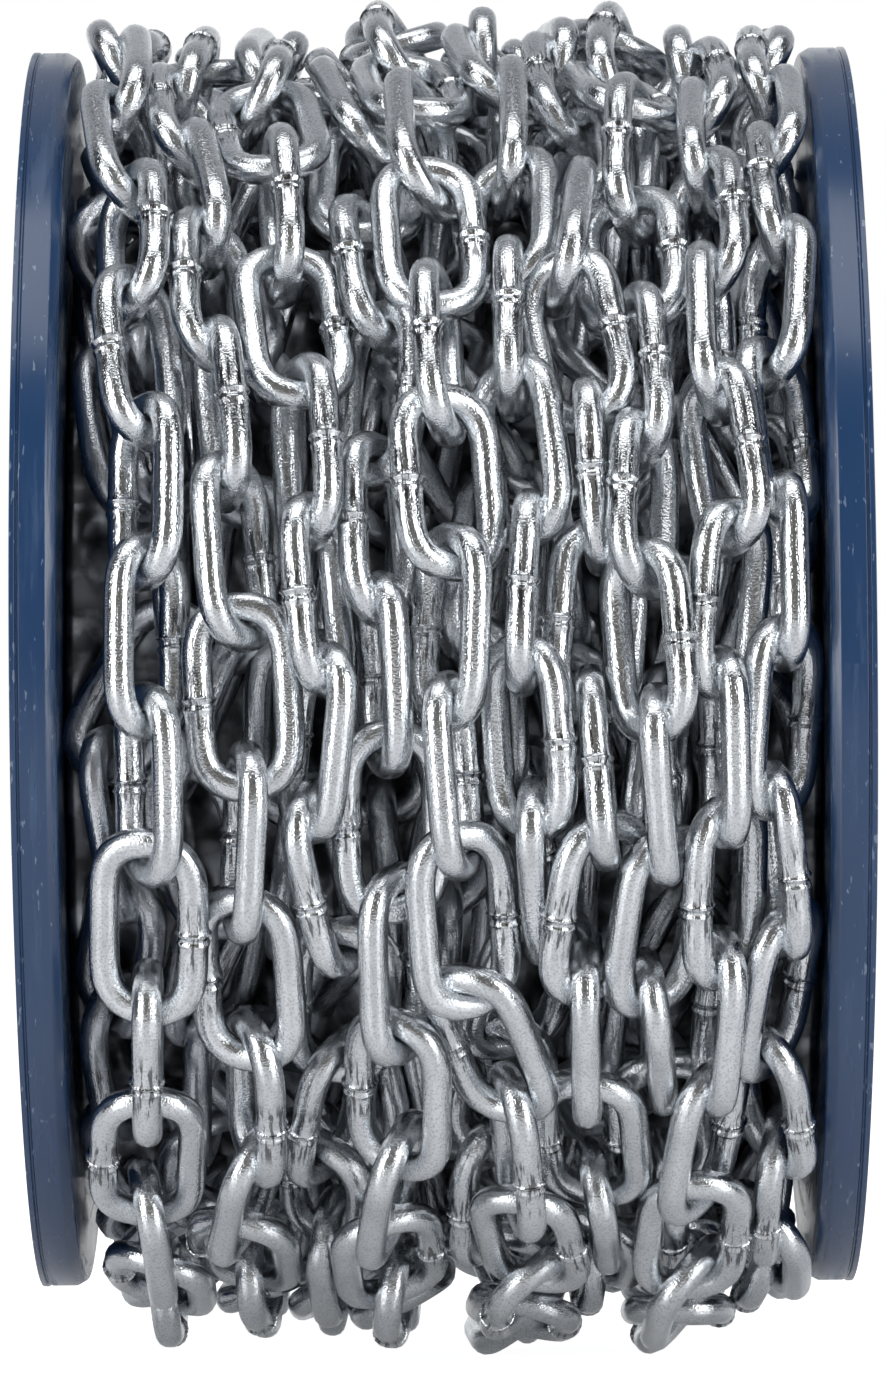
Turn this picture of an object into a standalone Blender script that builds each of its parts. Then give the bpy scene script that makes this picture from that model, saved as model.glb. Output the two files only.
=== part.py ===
"""A two-flange plastic reel wound with welded, zinc-plated steel chain.

The reel lies with its axis level, along X, and its origin is on the floor under its middle.
-Y is the front, where the turns of chain run down from the top to the bottom.
The outer layer is one length of chain, wound in ten turns from the left flange to the right.
Below, the chain is worked out in millimetres from the reel's axis and made at real size in metres.
"""

from math import asin, cos, pi, radians, sin, sqrt, tau

import bmesh
import bpy
import numpy as np
from mathutils import Matrix, Vector

MM = 0.001

# The reel, in metres
FLANGE_RADIUS = 0.085
REEL_WIDTH = 0.111
AXIS_HEIGHT = 0.0951
RIM_THICKNESS = 0.006
RIM_DEPTH = 0.0055
RIM_CHAMFER = 0.0006
WEB_THICKNESS = 0.0026
BOSS_RADIUS = 0.024
BORE_RADIUS = 0.015
SPIGOT_RADIUS = 0.0445
SPIGOT_LENGTH = 0.008
SPIGOT_WALL = 0.0025
RIB_COUNT = 6
RIB_THICKNESS = 0.0025
RIB_HEIGHT = 0.0022
BARREL_RADIUS = 0.049
BARREL_WALL = 0.004
SEAT_GAP = 0.0003
FLANGE_FACETS = 40
BARREL_FACETS = 32

# The chain, in millimetres: a link's wire and its middle line, and what it lies on and between
WIRE = 4.0
PITCH = 19.0
LINK_TIP = 11.7
LINK_BEND = 7.2
LINK_SIDE = 5.8
GAP = 0.37
CORE_RADIUS = 73.0
ROUTE_RADIUS = 86.5
BACK_RADIUS = 85.5
OUTER_REACH = 7.2
SAG = 4.0
FLOOR_DROP = 95.7

# Two windings' links are pushed this far into each other's ends, so that their ends just miss
JOINT_SLACK = 0.8
SLACK_LINKS = 3

# The first winding comes up from the layer below in this many links, and the last one ends
# this many degrees short of a whole turn
LEAD_LINKS = 9
LEAD_ACROSS = -43.5
FREE_END = 100

INNER_FACE = REEL_WIDTH / 2 - RIM_THICKNESS

# Each turn of the outer layer, read from the front of the reel: the angle of its first hook above
# the level (degrees), how far right of the middle each hook lies (mm), how far each link is turned
# about its own length (degrees, 0 lying flat on the reel and 90 on edge), and how far its hooks
# lie above or below the layer's usual radius (mm). A hook is where two links meet.
TURNS = (
    (
        75,
        (-41, -40, -38, -38, -37, -37, -37, -37, -38, -38.5, -40.5, -37.5, -38.5),
        (45, -45, 30, -50, 50, -40, 60, 0, 90, 0, 80, 0),
        (0,) * 13,
    ),
    (
        82,
        (-28, -29.5, -27.5, -28, -26.5, -26.5, -25.5, -25, -24, -23.5, -23, -27, -24),
        (90, -15, 50, -70, 45, -75, 20, 80, 5, 65, -60, 0),
        (0,) * 13,
    ),
    (
        77,
        (-20, -21, -19, -18, -15.5, -16, -14, -13.5, -12.5, -12.5, -13.5, -14, -13),
        (80, 0, 75, -25, 45, -60, 15, -50, 30, -50, 30, 90),
        (0, 0, 0, 0, 0, 0, 0, -3, -5, -5, -5, -5, -3),
    ),
    (
        74.5,
        (-5.5, -6.5, -4.5, -7, -9.5, -9.2, -7.5, -7.3, -5, -4.5, -5.5, -6, -9),
        (90, 10, -70, 40, -30, 90, -5, 80, 0, 90, 0, 75),
        (0, -2, -5, -7, -7, -4, 0, 0, 0, 0, 0, 0, 0),
    ),
    (
        71.5,
        (-17.5, -15.5, -6, -5.3, -2.5, 4.4, 6.9, 5.5, 7, 10, 11, 18, 17),
        (-10, 85, -5, 85, 5, 65, -60, -5, 80, -15, 65, 0),
        (2,) * 13,
    ),
    (
        78,
        (12, 11, 10.3, 11.6, 11.5, 11.7, 11.4, 11, 10, 6, 3, 3, 2),
        (-30, 60, 0, 90, 10, 90, 5, 90, 0, 90, 0, 85),
        (0, 0, 0, 0, 0, 0, -1, -4, -6, -6, -5, -2, 0),
    ),
    (
        77,
        (25.5, 28.5, 26, 24.5, 23.2, 23.6, 21.5, 20, 19.3, 19, 20, 23, 22),
        (-45, 45, -25, 45, -70, 0, -80, 5, 90, 10, -70, 10),
        (0, -1, -4, -3, -2, -2, -1, 0, 0, 0, -2, -4, -4),
    ),
    (
        71,
        (17.5, 22.6, 31.6, 34, 33.7, 31.5, 31.4, 31.8, 28, 29, 31, 31, 30),
        (-30, 80, 0, 75, -57, 5, 90, -40, 90, 0, 90, 0),
        (2, 2, 1, 0, 0, 0, 0, 0, -2, -5, -6, -6, -5),
    ),
    (
        64,
        (38.5, 42, 42.6, 42, 42, 42.3, 43.5, 39.5, 36.4, 34.6, 28.5, 26),
        (-70, 5, 90, 15, 90, 35, -60, 0, 80, 0, -60),
        (0,) * 12,
    ),
    (
        70,
        (44, 44, 44, 44, 44, 44, 44, 44, 44, 44, 44, 42, 42),
        (45, -45, 45, -45, 45, -45, 45, -45, 45, -45, 45, -45),
        (-6, -6, -6, -6, -6, -6, -6, -6, -6, -3, 0, 0, 0),
    ),
)

# How the settling goes
ROUNDS = 520
SQUEEZE_SHARE = 0.55
START_SPACING = 17.0
HOME_PULL = 0.05
ROD_PASSES = 8
NEIGHBOUR_REACH = 31.0
LEAST_TWIST = radians(50)
JOINT_TWIST = radians(86)
TWIST_SHARE = 0.25
SPIN_SHARE = 0.5
SPIN_STIFFNESS = 12.0

# A link's middle line in its own plane, along its length and across it
LINK_CAGE = np.array(
    [
        (LINK_TIP, 0),
        (LINK_BEND, LINK_SIDE),
        (-LINK_BEND, LINK_SIDE),
        (-LINK_TIP, 0),
        (-LINK_BEND, -LINK_SIDE),
        (LINK_BEND, -LINK_SIDE),
    ]
)


def clear_scene():
    for thing in list(bpy.data.objects):
        bpy.data.objects.remove(thing, do_unlink=True)


def new_material(name, colour, roughness, metallic):
    material = bpy.data.materials.new(name)
    material.use_nodes = True
    shader = material.node_tree.nodes["Principled BSDF"]
    shader.inputs["Base Color"].default_value = (*colour, 1.0)
    shader.inputs["Roughness"].default_value = roughness
    shader.inputs["Metallic"].default_value = metallic
    return material


def new_object(name, mesh, material):
    thing = bpy.data.objects.new(name, mesh)
    bpy.context.scene.collection.objects.link(thing)
    mesh.materials.append(material)
    return thing


def hide_helper(thing):
    thing.hide_render = True
    thing.display_type = "WIRE"


def union(thing, helper):
    joined = thing.modifiers.new(helper.name, "BOOLEAN")
    joined.operation = "UNION"
    joined.object = helper
    hide_helper(helper)


def turned(name, profile, facets, material):
    """A ring about the reel's axis from its section, points of (across, radius) in order."""
    shape = bmesh.new()
    rings = []
    for step in range(facets):
        angle = tau * (step + 0.5) / facets
        rings.append(
            [
                shape.verts.new((x, r * cos(angle), AXIS_HEIGHT + r * sin(angle)))
                for x, r in profile
            ]
        )
    for ring, following in zip(rings, rings[1:] + rings[:1]):
        for i in range(len(profile)):
            j = (i + 1) % len(profile)
            shape.faces.new((ring[i], following[i], following[j], ring[j]))
    bmesh.ops.recalc_face_normals(shape, faces=shape.faces)
    mesh = bpy.data.meshes.new(name)
    shape.to_mesh(mesh)
    shape.free()
    mesh.shade_smooth()
    mesh.set_sharp_from_angle(angle=radians(30))
    return new_object(name, mesh, material)


def make_ribs(name, side, material):
    """Radial ribs on the web's outer face, which run a little into the boss, the web and the rim."""
    web_face = INNER_FACE + WEB_THICKNESS
    bite = 0.0005
    inner = BOSS_RADIUS - 2 * bite
    outer = FLANGE_RADIUS - RIM_DEPTH + 2 * bite
    shape = bmesh.new()
    for k in range(RIB_COUNT):
        size = Vector((RIB_HEIGHT + bite, outer - inner, RIB_THICKNESS))
        middle = Vector(((web_face + (RIB_HEIGHT - bite) / 2) * side, (outer + inner) / 2, 0))
        place = Matrix.Rotation(tau * (k + 0.5) / RIB_COUNT, 4, "X") @ Matrix.Translation(middle)
        place = Matrix.Translation((0, 0, AXIS_HEIGHT)) @ place @ Matrix.Diagonal((*size, 1))
        bmesh.ops.create_cube(shape, size=1, matrix=place)
    mesh = bpy.data.meshes.new(name)
    shape.to_mesh(mesh)
    shape.free()
    return new_object(name, mesh, material)


def make_flange(name, side, material):
    """A moulded disc: rim, recessed web, boss with the spindle's bore, and the barrel's spigot."""
    face = REEL_WIDTH / 2
    web_face = INNER_FACE + WEB_THICKNESS
    rim_inside = FLANGE_RADIUS - RIM_DEPTH
    spigot_end = INNER_FACE - SPIGOT_LENGTH
    profile = (
        (face, BORE_RADIUS),
        (face, BOSS_RADIUS),
        (web_face, BOSS_RADIUS),
        (web_face, rim_inside),
        (face, rim_inside),
        (face, FLANGE_RADIUS - RIM_CHAMFER),
        (face - RIM_CHAMFER, FLANGE_RADIUS),
        (INNER_FACE + RIM_CHAMFER, FLANGE_RADIUS),
        (INNER_FACE, FLANGE_RADIUS - RIM_CHAMFER),
        (INNER_FACE, SPIGOT_RADIUS),
        (spigot_end, SPIGOT_RADIUS),
        (spigot_end, SPIGOT_RADIUS - SPIGOT_WALL),
        (INNER_FACE, SPIGOT_RADIUS - SPIGOT_WALL),
        (INNER_FACE, BORE_RADIUS),
    )
    placed = [(x * side, r) for x, r in profile]
    flange = turned(name, placed, FLANGE_FACETS, material)
    union(flange, make_ribs(name + "_ribs", side, material))
    return flange


def make_barrel(material):
    """The tube between the flanges, which fits over their spigots."""
    end = INNER_FACE - SEAT_GAP
    inside = BARREL_RADIUS - BARREL_WALL
    section = ((-end, inside), (end, inside), (end, BARREL_RADIUS), (-end, BARREL_RADIUS))
    return turned("barrel", section, BARREL_FACETS, material)


def make_core(material):
    """One plain ring in the place of the layers of chain under the outer one."""
    end = INNER_FACE - SEAT_GAP
    inside = (BARREL_RADIUS + SEAT_GAP) / cos(pi / BARREL_FACETS)
    outside = CORE_RADIUS * MM
    section = ((-end, inside), (end, inside), (end, outside), (-end, outside))
    return turned("chain_core", section, BARREL_FACETS, material)


def route_radius(angle):
    """The layer's radius at an angle above the level front: slack chain hangs lower at the bottom."""
    return ROUTE_RADIUS - SAG * sin(angle)


def route_point(angle, across, lift):
    radius = route_radius(angle) + lift
    return (across, -radius * cos(angle), radius * sin(angle))


def front_angles(first, across, lifts):
    """The angle of each hook, one link's pitch after another, from the sideways step between them."""
    angles = [radians(first)]
    for i in range(1, len(across)):
        step = min((across[i] - across[i - 1]) ** 2, 0.7 * PITCH**2)
        radius = route_radius(angles[-1]) + lifts[i - 1]
        angles.append(angles[-1] - 2 * asin(sqrt(PITCH**2 - step) / 2 / radius))
    return angles


def lay_chain():
    """The hooks, the turn of each link about its length, and the winding that each link is in.

    The front of each winding follows TURNS. Its back goes round to the next one's first hook in
    whole links, with the slack shared out, and the links' quarter turns carry on. The next winding
    begins halfway round the back.
    """
    first, across, turns, _ = TURNS[0]
    hooks, rolls, windings = [], [], [0] * LEAD_LINKS
    for i in range(LEAD_LINKS, 0, -1):
        part = i / LEAD_LINKS
        x = across[0] + (LEAD_ACROSS - across[0]) * part
        hooks.append(route_point(radians(first) + i * PITCH / BACK_RADIUS, x, 0))
        rolls.append(turns[0] - 90 * i)
    for k, (first, across, turns, lifts) in enumerate(TURNS):
        angles = front_angles(first, across, lifts)
        hooks += [route_point(a, x, lift) for a, x, lift in zip(angles, across, lifts)]
        rolls += turns
        following = TURNS[k + 1] if k + 1 < len(TURNS) else TURNS[k]
        end_angle = radians(following[0]) - tau
        if following is TURNS[k]:
            end_angle += radians(FREE_END)
        end_across, end_roll, end_lift = following[1][0], following[2][0], following[3][0]
        span = angles[-1] - end_angle
        links = int(span * BACK_RADIUS / PITCH)
        for i in range(1, links):
            part = i / links
            ease = part * part * (3 - 2 * part)
            x = across[-1] + (end_across - across[-1]) * ease
            lift = lifts[-1] + (end_lift - lifts[-1]) * ease
            hooks.append(route_point(angles[-1] - span * part, x, lift))
        extra = (end_roll - turns[-1] - 90 * (links + 1) + 90) % 180 - 90
        rolls += [turns[-1] + 90 * j + extra * j / (links + 1) for j in range(1, links + 1)]
        passing = links // 2 if k + 1 < len(TURNS) else 0
        windings += [k] * (len(turns) + links - passing) + [k + 1] * passing
    hooks.append(route_point(end_angle, end_across, end_lift))
    return np.array(hooks), np.radians(rolls), np.array(windings)


def unit(vectors):
    return vectors / np.linalg.norm(vectors, axis=-1, keepdims=True)


def joint_slack(windings):
    """How far each link is pushed along the chain, where one winding's links meet the next one's.

    There the last links move up against the next one's first, so that the two just miss each other.
    """
    slack = np.zeros(len(windings))
    for joint in np.flatnonzero(np.diff(windings)) + 1:
        for i in range(SLACK_LINKS):
            push = JOINT_SLACK * (1 - i / SLACK_LINKS)
            slack[joint - 1 - i] = push
            slack[joint + i] = -push
    return slack


def link_frames(hooks, rolls, slack):
    """Each link's middle, its direction, and the direction across it in its own plane."""
    along = unit(hooks[1:] - hooks[:-1])
    middle = (hooks[1:] + hooks[:-1]) / 2 + along * slack[:, None]
    out = middle * (0, 1, 1)
    out = unit(out - along * (out * along).sum(1, keepdims=True))
    across = np.cross(out, along)
    return middle, along, across * np.cos(rolls)[:, None] + out * np.sin(rolls)[:, None]


def link_corners(hooks, rolls, slack):
    middle, along, side = link_frames(hooks, rolls, slack)
    lengthwise = LINK_CAGE[None, :, :1] * along[:, None]
    return middle[:, None] + lengthwise + LINK_CAGE[None, :, 1:] * side[:, None]


def nearest_points(a0, a1, b0, b1):
    """The nearest points of two straight bars, for whole arrays of pairs."""
    a, b, gap = a1 - a0, b1 - b0, a0 - b0
    aa, bb, ab = (a * a).sum(-1), (b * b).sum(-1), (a * b).sum(-1)
    ag, bg = (a * gap).sum(-1), (b * gap).sum(-1)
    s = np.clip((ab * bg - ag * bb) / np.maximum(aa * bb - ab * ab, 1e-9), 0, 1)
    t = np.clip((ab * s + bg) / bb, 0, 1)
    s = np.clip((ab * t - ag) / aa, 0, 1)
    return a0 + a * s[..., None], b0 + b * t[..., None]


def touching(corners, first, second, least):
    """The pairs of links with bars nearer than least, their nearest points and the distance."""
    ends = np.roll(corners, -1, axis=1)
    shape = (len(first), len(LINK_CAGE), len(LINK_CAGE), 3)
    bars = [np.broadcast_to(c[first][:, :, None], shape) for c in (corners, ends)]
    bars += [np.broadcast_to(c[second][:, None], shape) for c in (corners, ends)]
    on_first, on_second = nearest_points(*bars)
    distance = np.linalg.norm(on_first - on_second, axis=-1).reshape(len(first), -1)
    row, pick = np.arange(len(first)), distance.argmin(1)
    near = distance[row, pick]
    hit = near < least
    points = [p.reshape(len(first), -1, 3)[row, pick][hit] for p in (on_first, on_second)]
    return first[hit], second[hit], *points, near[hit]


def keep_pitch(hooks):
    """Moves neighbouring hooks to one pitch apart, even links first and then odd ones."""
    for _ in range(ROD_PASSES):
        for start in (0, 1):
            i = np.arange(start, len(hooks) - 1, 2)
            step = hooks[i + 1] - hooks[i]
            move = step * (1 - PITCH / np.linalg.norm(step, axis=1, keepdims=True)) / 2
            hooks[i] += move
            hooks[i + 1] -= move


def push_apart(hooks, rolls, slack, first, second):
    """Moves and turns each pair of links that touch, so that they part by half each."""
    least = WIRE + GAP
    middle, along, _ = link_frames(hooks, rolls, slack)
    corners = link_corners(hooks, rolls, slack)
    first, second, on_first, on_second, near = touching(corners, first, second, least)
    normal = (on_first - on_second) / np.maximum(near, 1e-6)[:, None]
    depth = least - near
    move, moves = np.zeros_like(hooks), np.zeros(len(hooks))
    spin, spins = np.zeros(len(rolls)), np.zeros(len(rolls))
    for link, point, way in ((first, on_first, 1), (second, on_second, -1)):
        place = ((point - middle[link]) * along[link]).sum(1) / (PITCH / 2)
        late = np.clip((1 + place) / 2, 0, 1)
        early = 1 - late
        scale = early * early + late * late
        push = normal * (depth * way / 2)[:, None]
        for hook, share in ((link, early / scale), (link + 1, late / scale)):
            np.add.at(move, hook, push * share[:, None])
            np.add.at(moves, hook, share)
        arm = (np.cross(along[link], point - middle[link]) * normal).sum(1) * way
        np.add.at(spin, link, SPIN_SHARE * depth * arm / (arm * arm + SPIN_STIFFNESS))
        np.add.at(spins, link, 1)
    hooks += move / np.maximum(moves, 1)[:, None]
    rolls += spin / np.maximum(spins, 1)


def keep_twist(rolls, least):
    """Neighbouring links stay turned well away from each other, as hooked links are."""
    twist = (rolls[1:] - rolls[:-1] + pi / 2) % pi - pi / 2
    short = np.maximum(least - np.abs(twist), 0) * TWIST_SHARE
    fix = np.where(twist >= 0, short, -short)
    rolls[1:] += fix
    rolls[:-1] -= fix


def keep_inside(hooks, rolls, slack, half_width):
    """Keeps the links between the flanges, near the core but outside it, and above the floor."""
    corners = link_corners(hooks, rolls, slack)
    limit = half_width - WIRE / 2 - GAP
    shift = np.minimum(limit - corners[..., 0].max(1), 0)
    shift += np.maximum(-limit - corners[..., 0].min(1), 0)
    hooks[:-1, 0] += shift / 2
    hooks[1:, 0] += shift / 2
    between = (corners + np.roll(corners, -1, axis=1)) / 2
    radius = np.linalg.norm(np.concatenate([corners, between], axis=1)[..., 1:], axis=2).min(1)
    lift = np.maximum(CORE_RADIUS + WIRE / 2 + GAP - radius, 0) / 2
    outer = np.linalg.norm(corners[..., 1:], axis=2).max(1)
    height = corners.mean(axis=1)[:, 2] / outer
    lift += np.minimum(ROUTE_RADIUS - SAG * height + OUTER_REACH - outer, 0) / 2
    out = unit((hooks[1:] + hooks[:-1]) * (0, 1, 1)) * lift[:, None]
    hooks[:-1] += out
    hooks[1:] += out
    rise = np.maximum(WIRE / 2 - FLOOR_DROP - corners[..., 2].min(1), 0) / 2
    hooks[:-1, 2] += rise
    hooks[1:, 2] += rise


def settle(hooks, rolls, windings):
    """Pushes the turns together from far apart, until each lies on its neighbours and cuts none."""
    home, home_rolls = hooks.copy(), rolls.copy()
    least_twist = np.where(np.diff(windings) == 0, LEAST_TWIST, JOINT_TWIST)
    slack = joint_slack(windings)
    angle = np.unwrap(np.arctan2(home[:, 2], -home[:, 1]))
    far = home.copy()
    far[:, 0] = START_SPACING * ((angle[0] + angle[-1]) / 2 - angle) / tau
    hooks, rolls = far.copy(), rolls.copy()
    half_width = INNER_FACE / MM
    for k in range(ROUNDS):
        done = min(k / (ROUNDS * SQUEEZE_SHARE), 1)
        keep_pitch(hooks)
        if k % 3 == 0:
            middle = (hooks[1:] + hooks[:-1]) / 2
            apart = np.linalg.norm(middle[:, None] - middle[None], axis=2)
            first, second = np.nonzero(np.triu(apart < NEIGHBOUR_REACH, 2))
        push_apart(hooks, rolls, slack, first, second)
        keep_twist(rolls, least_twist)
        spread = (1 - done) * len(TURNS) * START_SPACING / 4
        keep_inside(hooks, rolls, slack, half_width + spread)
        late = max(k / ROUNDS - SQUEEZE_SHARE, 0) / (1 - SQUEEZE_SHARE)
        pull = HOME_PULL * max(0, 1 - 1.6 * late)
        goal = far * (1 - done) + home * done
        hooks += (goal - hooks) * pull
        rolls += (home_rolls - rolls) * pull / 2
    keep_pitch(hooks)
    return hooks, rolls, slack


def chain_shape():
    """The corners of each link's middle line, the way that its flat side faces, and its winding."""
    hooks, rolls, windings = lay_chain()
    hooks, rolls, slack = settle(hooks, rolls, windings)
    _, along, sides = link_frames(hooks, rolls, slack)
    return link_corners(hooks, rolls, slack), np.cross(along, sides), windings


def add_link(shape, corners, flat):
    """A closed bar of four-sided section along a link's corners, its edges in and across the plane."""
    middle = corners.mean(axis=0)
    rings = []
    for i, corner in enumerate(corners):
        before = unit(corner - corners[i - 1])
        after = unit(corners[(i + 1) % len(corners)] - corner)
        outward = unit(before - after)
        if (outward * (corner - middle)).sum() < 0:
            outward = -outward
        reach = WIRE / 2 / sqrt((1 + (before * after).sum()) / 2)
        section = (outward * reach, flat * WIRE / 2, -outward * reach, -flat * WIRE / 2)
        places = [(corner + offset) * MM + (0, 0, AXIS_HEIGHT) for offset in section]
        rings.append([shape.verts.new(place) for place in places])
    for ring, following in zip(rings, rings[1:] + rings[:1]):
        for i in range(4):
            j = (i + 1) % 4
            shape.faces.new((ring[i], following[i], following[j], ring[j]))


def make_links(name, chosen, corners, flats, material):
    shape = bmesh.new()
    for i in chosen:
        add_link(shape, corners[i], flats[i])
    bmesh.ops.recalc_face_normals(shape, faces=shape.faces)
    mesh = bpy.data.meshes.new(name)
    shape.to_mesh(mesh)
    shape.free()
    return new_object(name, mesh, material)


def make_turns(material):
    """One object for each turn: every second link, and the links between them joined on."""
    corners, flats, windings = chain_shape()
    for k in range(len(TURNS)):
        name = f"chain_turn_{k + 1:02d}"
        links = np.flatnonzero(windings == k)
        turn = make_links(name, links[::2], corners, flats, material)
        between = make_links(name + "_between", links[1::2], corners, flats, material)
        union(turn, between)


def main():
    clear_scene()
    plastic = new_material("blue_plastic", (0.03, 0.07, 0.16), 0.35, 0.0)
    zinc = new_material("zinc_plated_steel", (0.62, 0.65, 0.68), 0.22, 1.0)
    inner_chain = new_material("inner_chain", (0.2, 0.21, 0.23), 0.4, 1.0)
    make_flange("left_flange", -1, plastic)
    make_flange("right_flange", 1, plastic)
    make_barrel(plastic)
    make_core(inner_chain)
    make_turns(zinc)


main()
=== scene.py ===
# %% [markdown]
# # A reel of welded steel chain
# The object is one long steel chain, plated with bright zinc, wound in layers on a blue plastic
# reel. The reel lies with its axis level, and we look straight at its front, where the turns of
# chain run down. The solids are loaded first as a fixed frame: two flanges, a barrel, a plain
# core, and ten turns of chain with square-edged links. They say where everything is. This lesson
# dresses them: round links with welds, the layer of chain that shows between them, smooth moulded
# flanges, and the zinc and plastic finishes.

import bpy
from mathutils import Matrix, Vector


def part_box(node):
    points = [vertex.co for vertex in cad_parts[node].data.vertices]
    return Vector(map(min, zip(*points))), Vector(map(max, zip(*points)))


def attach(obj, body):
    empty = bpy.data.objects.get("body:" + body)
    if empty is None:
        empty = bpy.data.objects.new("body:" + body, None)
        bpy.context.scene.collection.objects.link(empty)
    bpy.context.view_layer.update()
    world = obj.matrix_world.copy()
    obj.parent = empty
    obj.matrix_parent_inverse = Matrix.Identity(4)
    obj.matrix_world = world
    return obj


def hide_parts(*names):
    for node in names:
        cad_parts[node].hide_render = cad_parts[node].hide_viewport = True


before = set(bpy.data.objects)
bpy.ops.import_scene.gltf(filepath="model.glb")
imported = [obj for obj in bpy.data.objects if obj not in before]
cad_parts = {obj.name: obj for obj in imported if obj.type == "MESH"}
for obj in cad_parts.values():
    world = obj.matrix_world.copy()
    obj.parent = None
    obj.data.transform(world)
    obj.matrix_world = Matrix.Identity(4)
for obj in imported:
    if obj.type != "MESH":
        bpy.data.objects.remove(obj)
print(len(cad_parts), "solids loaded")

# %% Modules and the solids' own box
from math import asin, cos, pi, radians, sin, sqrt, tau

import bpy
import numpy as np
from mathutils import Matrix, Vector

MM = 0.001
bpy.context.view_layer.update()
AXIS_HEIGHT = sum(corner.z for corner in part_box("left_flange")) / 2
BARREL_PLAY = 0.0003
INNER_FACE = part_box("barrel")[1].x + BARREL_PLAY


print("the axis is", round(AXIS_HEIGHT / MM, 1), "mm above the frame's zero")

# %% [markdown]
# ## The camera
# A straight product shot: the camera is level with the reel's axis, a little over a metre away,
# with a long lens. Its distance was found from how much narrower the reel looks at its top and
# bottom than at its middle. It looks down by less than a quarter of a degree, and it is rolled by
# less than half a degree, as a hand-levelled camera often is.

# %% Make the camera
CAMERA_DISTANCE = 1.105
LENS = 205.4
SENSOR_WIDTH = 36
VIEW_END = 20
AIM_BELOW_AXIS = 0.0046
CAMERA_ROLL = radians(0.43)


def make_camera():
    """A camera in front of the reel at the axis' height, aimed a little below the axis and rolled."""
    data = bpy.data.cameras.new("camera")
    data.lens = LENS
    data.sensor_width = SENSOR_WIDTH
    data.clip_end = VIEW_END
    camera = bpy.data.objects.new("camera", data)
    bpy.context.scene.collection.objects.link(camera)
    place = Vector((0, -CAMERA_DISTANCE, AXIS_HEIGHT))
    look = Vector((0, 0, AXIS_HEIGHT - AIM_BELOW_AXIS)) - place
    aim = look.to_track_quat("-Z", "Y").to_matrix().to_4x4()
    camera.matrix_world = Matrix.Translation(place) @ aim @ Matrix.Rotation(-CAMERA_ROLL, 4, "Z")
    bpy.context.scene.camera = camera


make_camera()
print("camera", CAMERA_DISTANCE, "m from the axis, lens", LENS, "mm")

# %% [markdown]
# ## Small tools for meshes
# Nearly every new shape here is a grid of points, worked out as one array: rows along a path and
# columns around it, both closed on themselves. One helper gives the quads of any number of such
# grids, so that a whole turn of links is a single object.


# %% Mesh helpers
def grid_faces(rows, columns, copies=1):
    """Quads of a grid that closes both ways: point (i, j) joins (i+1, j) and (i, j+1), with the
    last row and column going back to the first. Each copy's points follow the last copy's."""
    i, j = np.meshgrid(np.arange(rows), np.arange(columns), indexing="ij")
    after_i, after_j = (i + 1) % rows, (j + 1) % columns
    corners = (i * columns + j, after_i * columns + j, after_i * columns + after_j, i * columns + after_j)
    quads = np.stack(corners, axis=-1).reshape(-1, 4)
    starts = np.arange(copies) * rows * columns
    return (quads[None] + starts[:, None, None]).reshape(-1, 4)


def mesh_object(name, points, quads):
    """An object at the origin with these points and quads, shaded smooth."""
    mesh = bpy.data.meshes.new(name)
    mesh.vertices.add(len(points))
    mesh.vertices.foreach_set("co", np.ascontiguousarray(points, np.float32).ravel())
    mesh.loops.add(quads.size)
    mesh.loops.foreach_set("vertex_index", quads.astype(np.int32).ravel())
    mesh.polygons.add(len(quads))
    mesh.polygons.foreach_set("loop_start", np.arange(0, quads.size, 4, dtype=np.int32))
    mesh.update(calc_edges=True)
    mesh.validate()
    mesh.shade_smooth()
    thing = bpy.data.objects.new(name, mesh)
    bpy.context.scene.collection.objects.link(thing)
    return thing


def subdivide(thing, levels):
    """A Subdivision Surface, as fine in the window as in the render."""
    smooth = thing.modifiers.new("smooth", "SUBSURF")
    smooth.levels = levels
    smooth.render_levels = levels


def unit(vectors):
    """Each vector divided by its length."""
    return vectors / np.linalg.norm(vectors, axis=-1, keepdims=True)


print("mesh helpers ready")

# %% [markdown]
# ## Where the chain lies
# A wound chain could be drawn as a neat spiral of links, but a real one wanders: turns climb over
# each other, and links twist between lying flat and standing on edge. So each turn is read from
# the front of the reel as a short table, and a relaxation does the rest. It is the same rule that
# placed the solids, so the round links land on them.
#
# A hook is where two links meet. For each turn the table gives the angle of its first hook above
# the level (degrees), how far right of the middle each hook lies (mm), how far each link is
# turned about its own length (degrees, 0 flat on the reel and 90 on edge), and how far its hooks
# lie above or below the layer's usual radius (mm).

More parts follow.
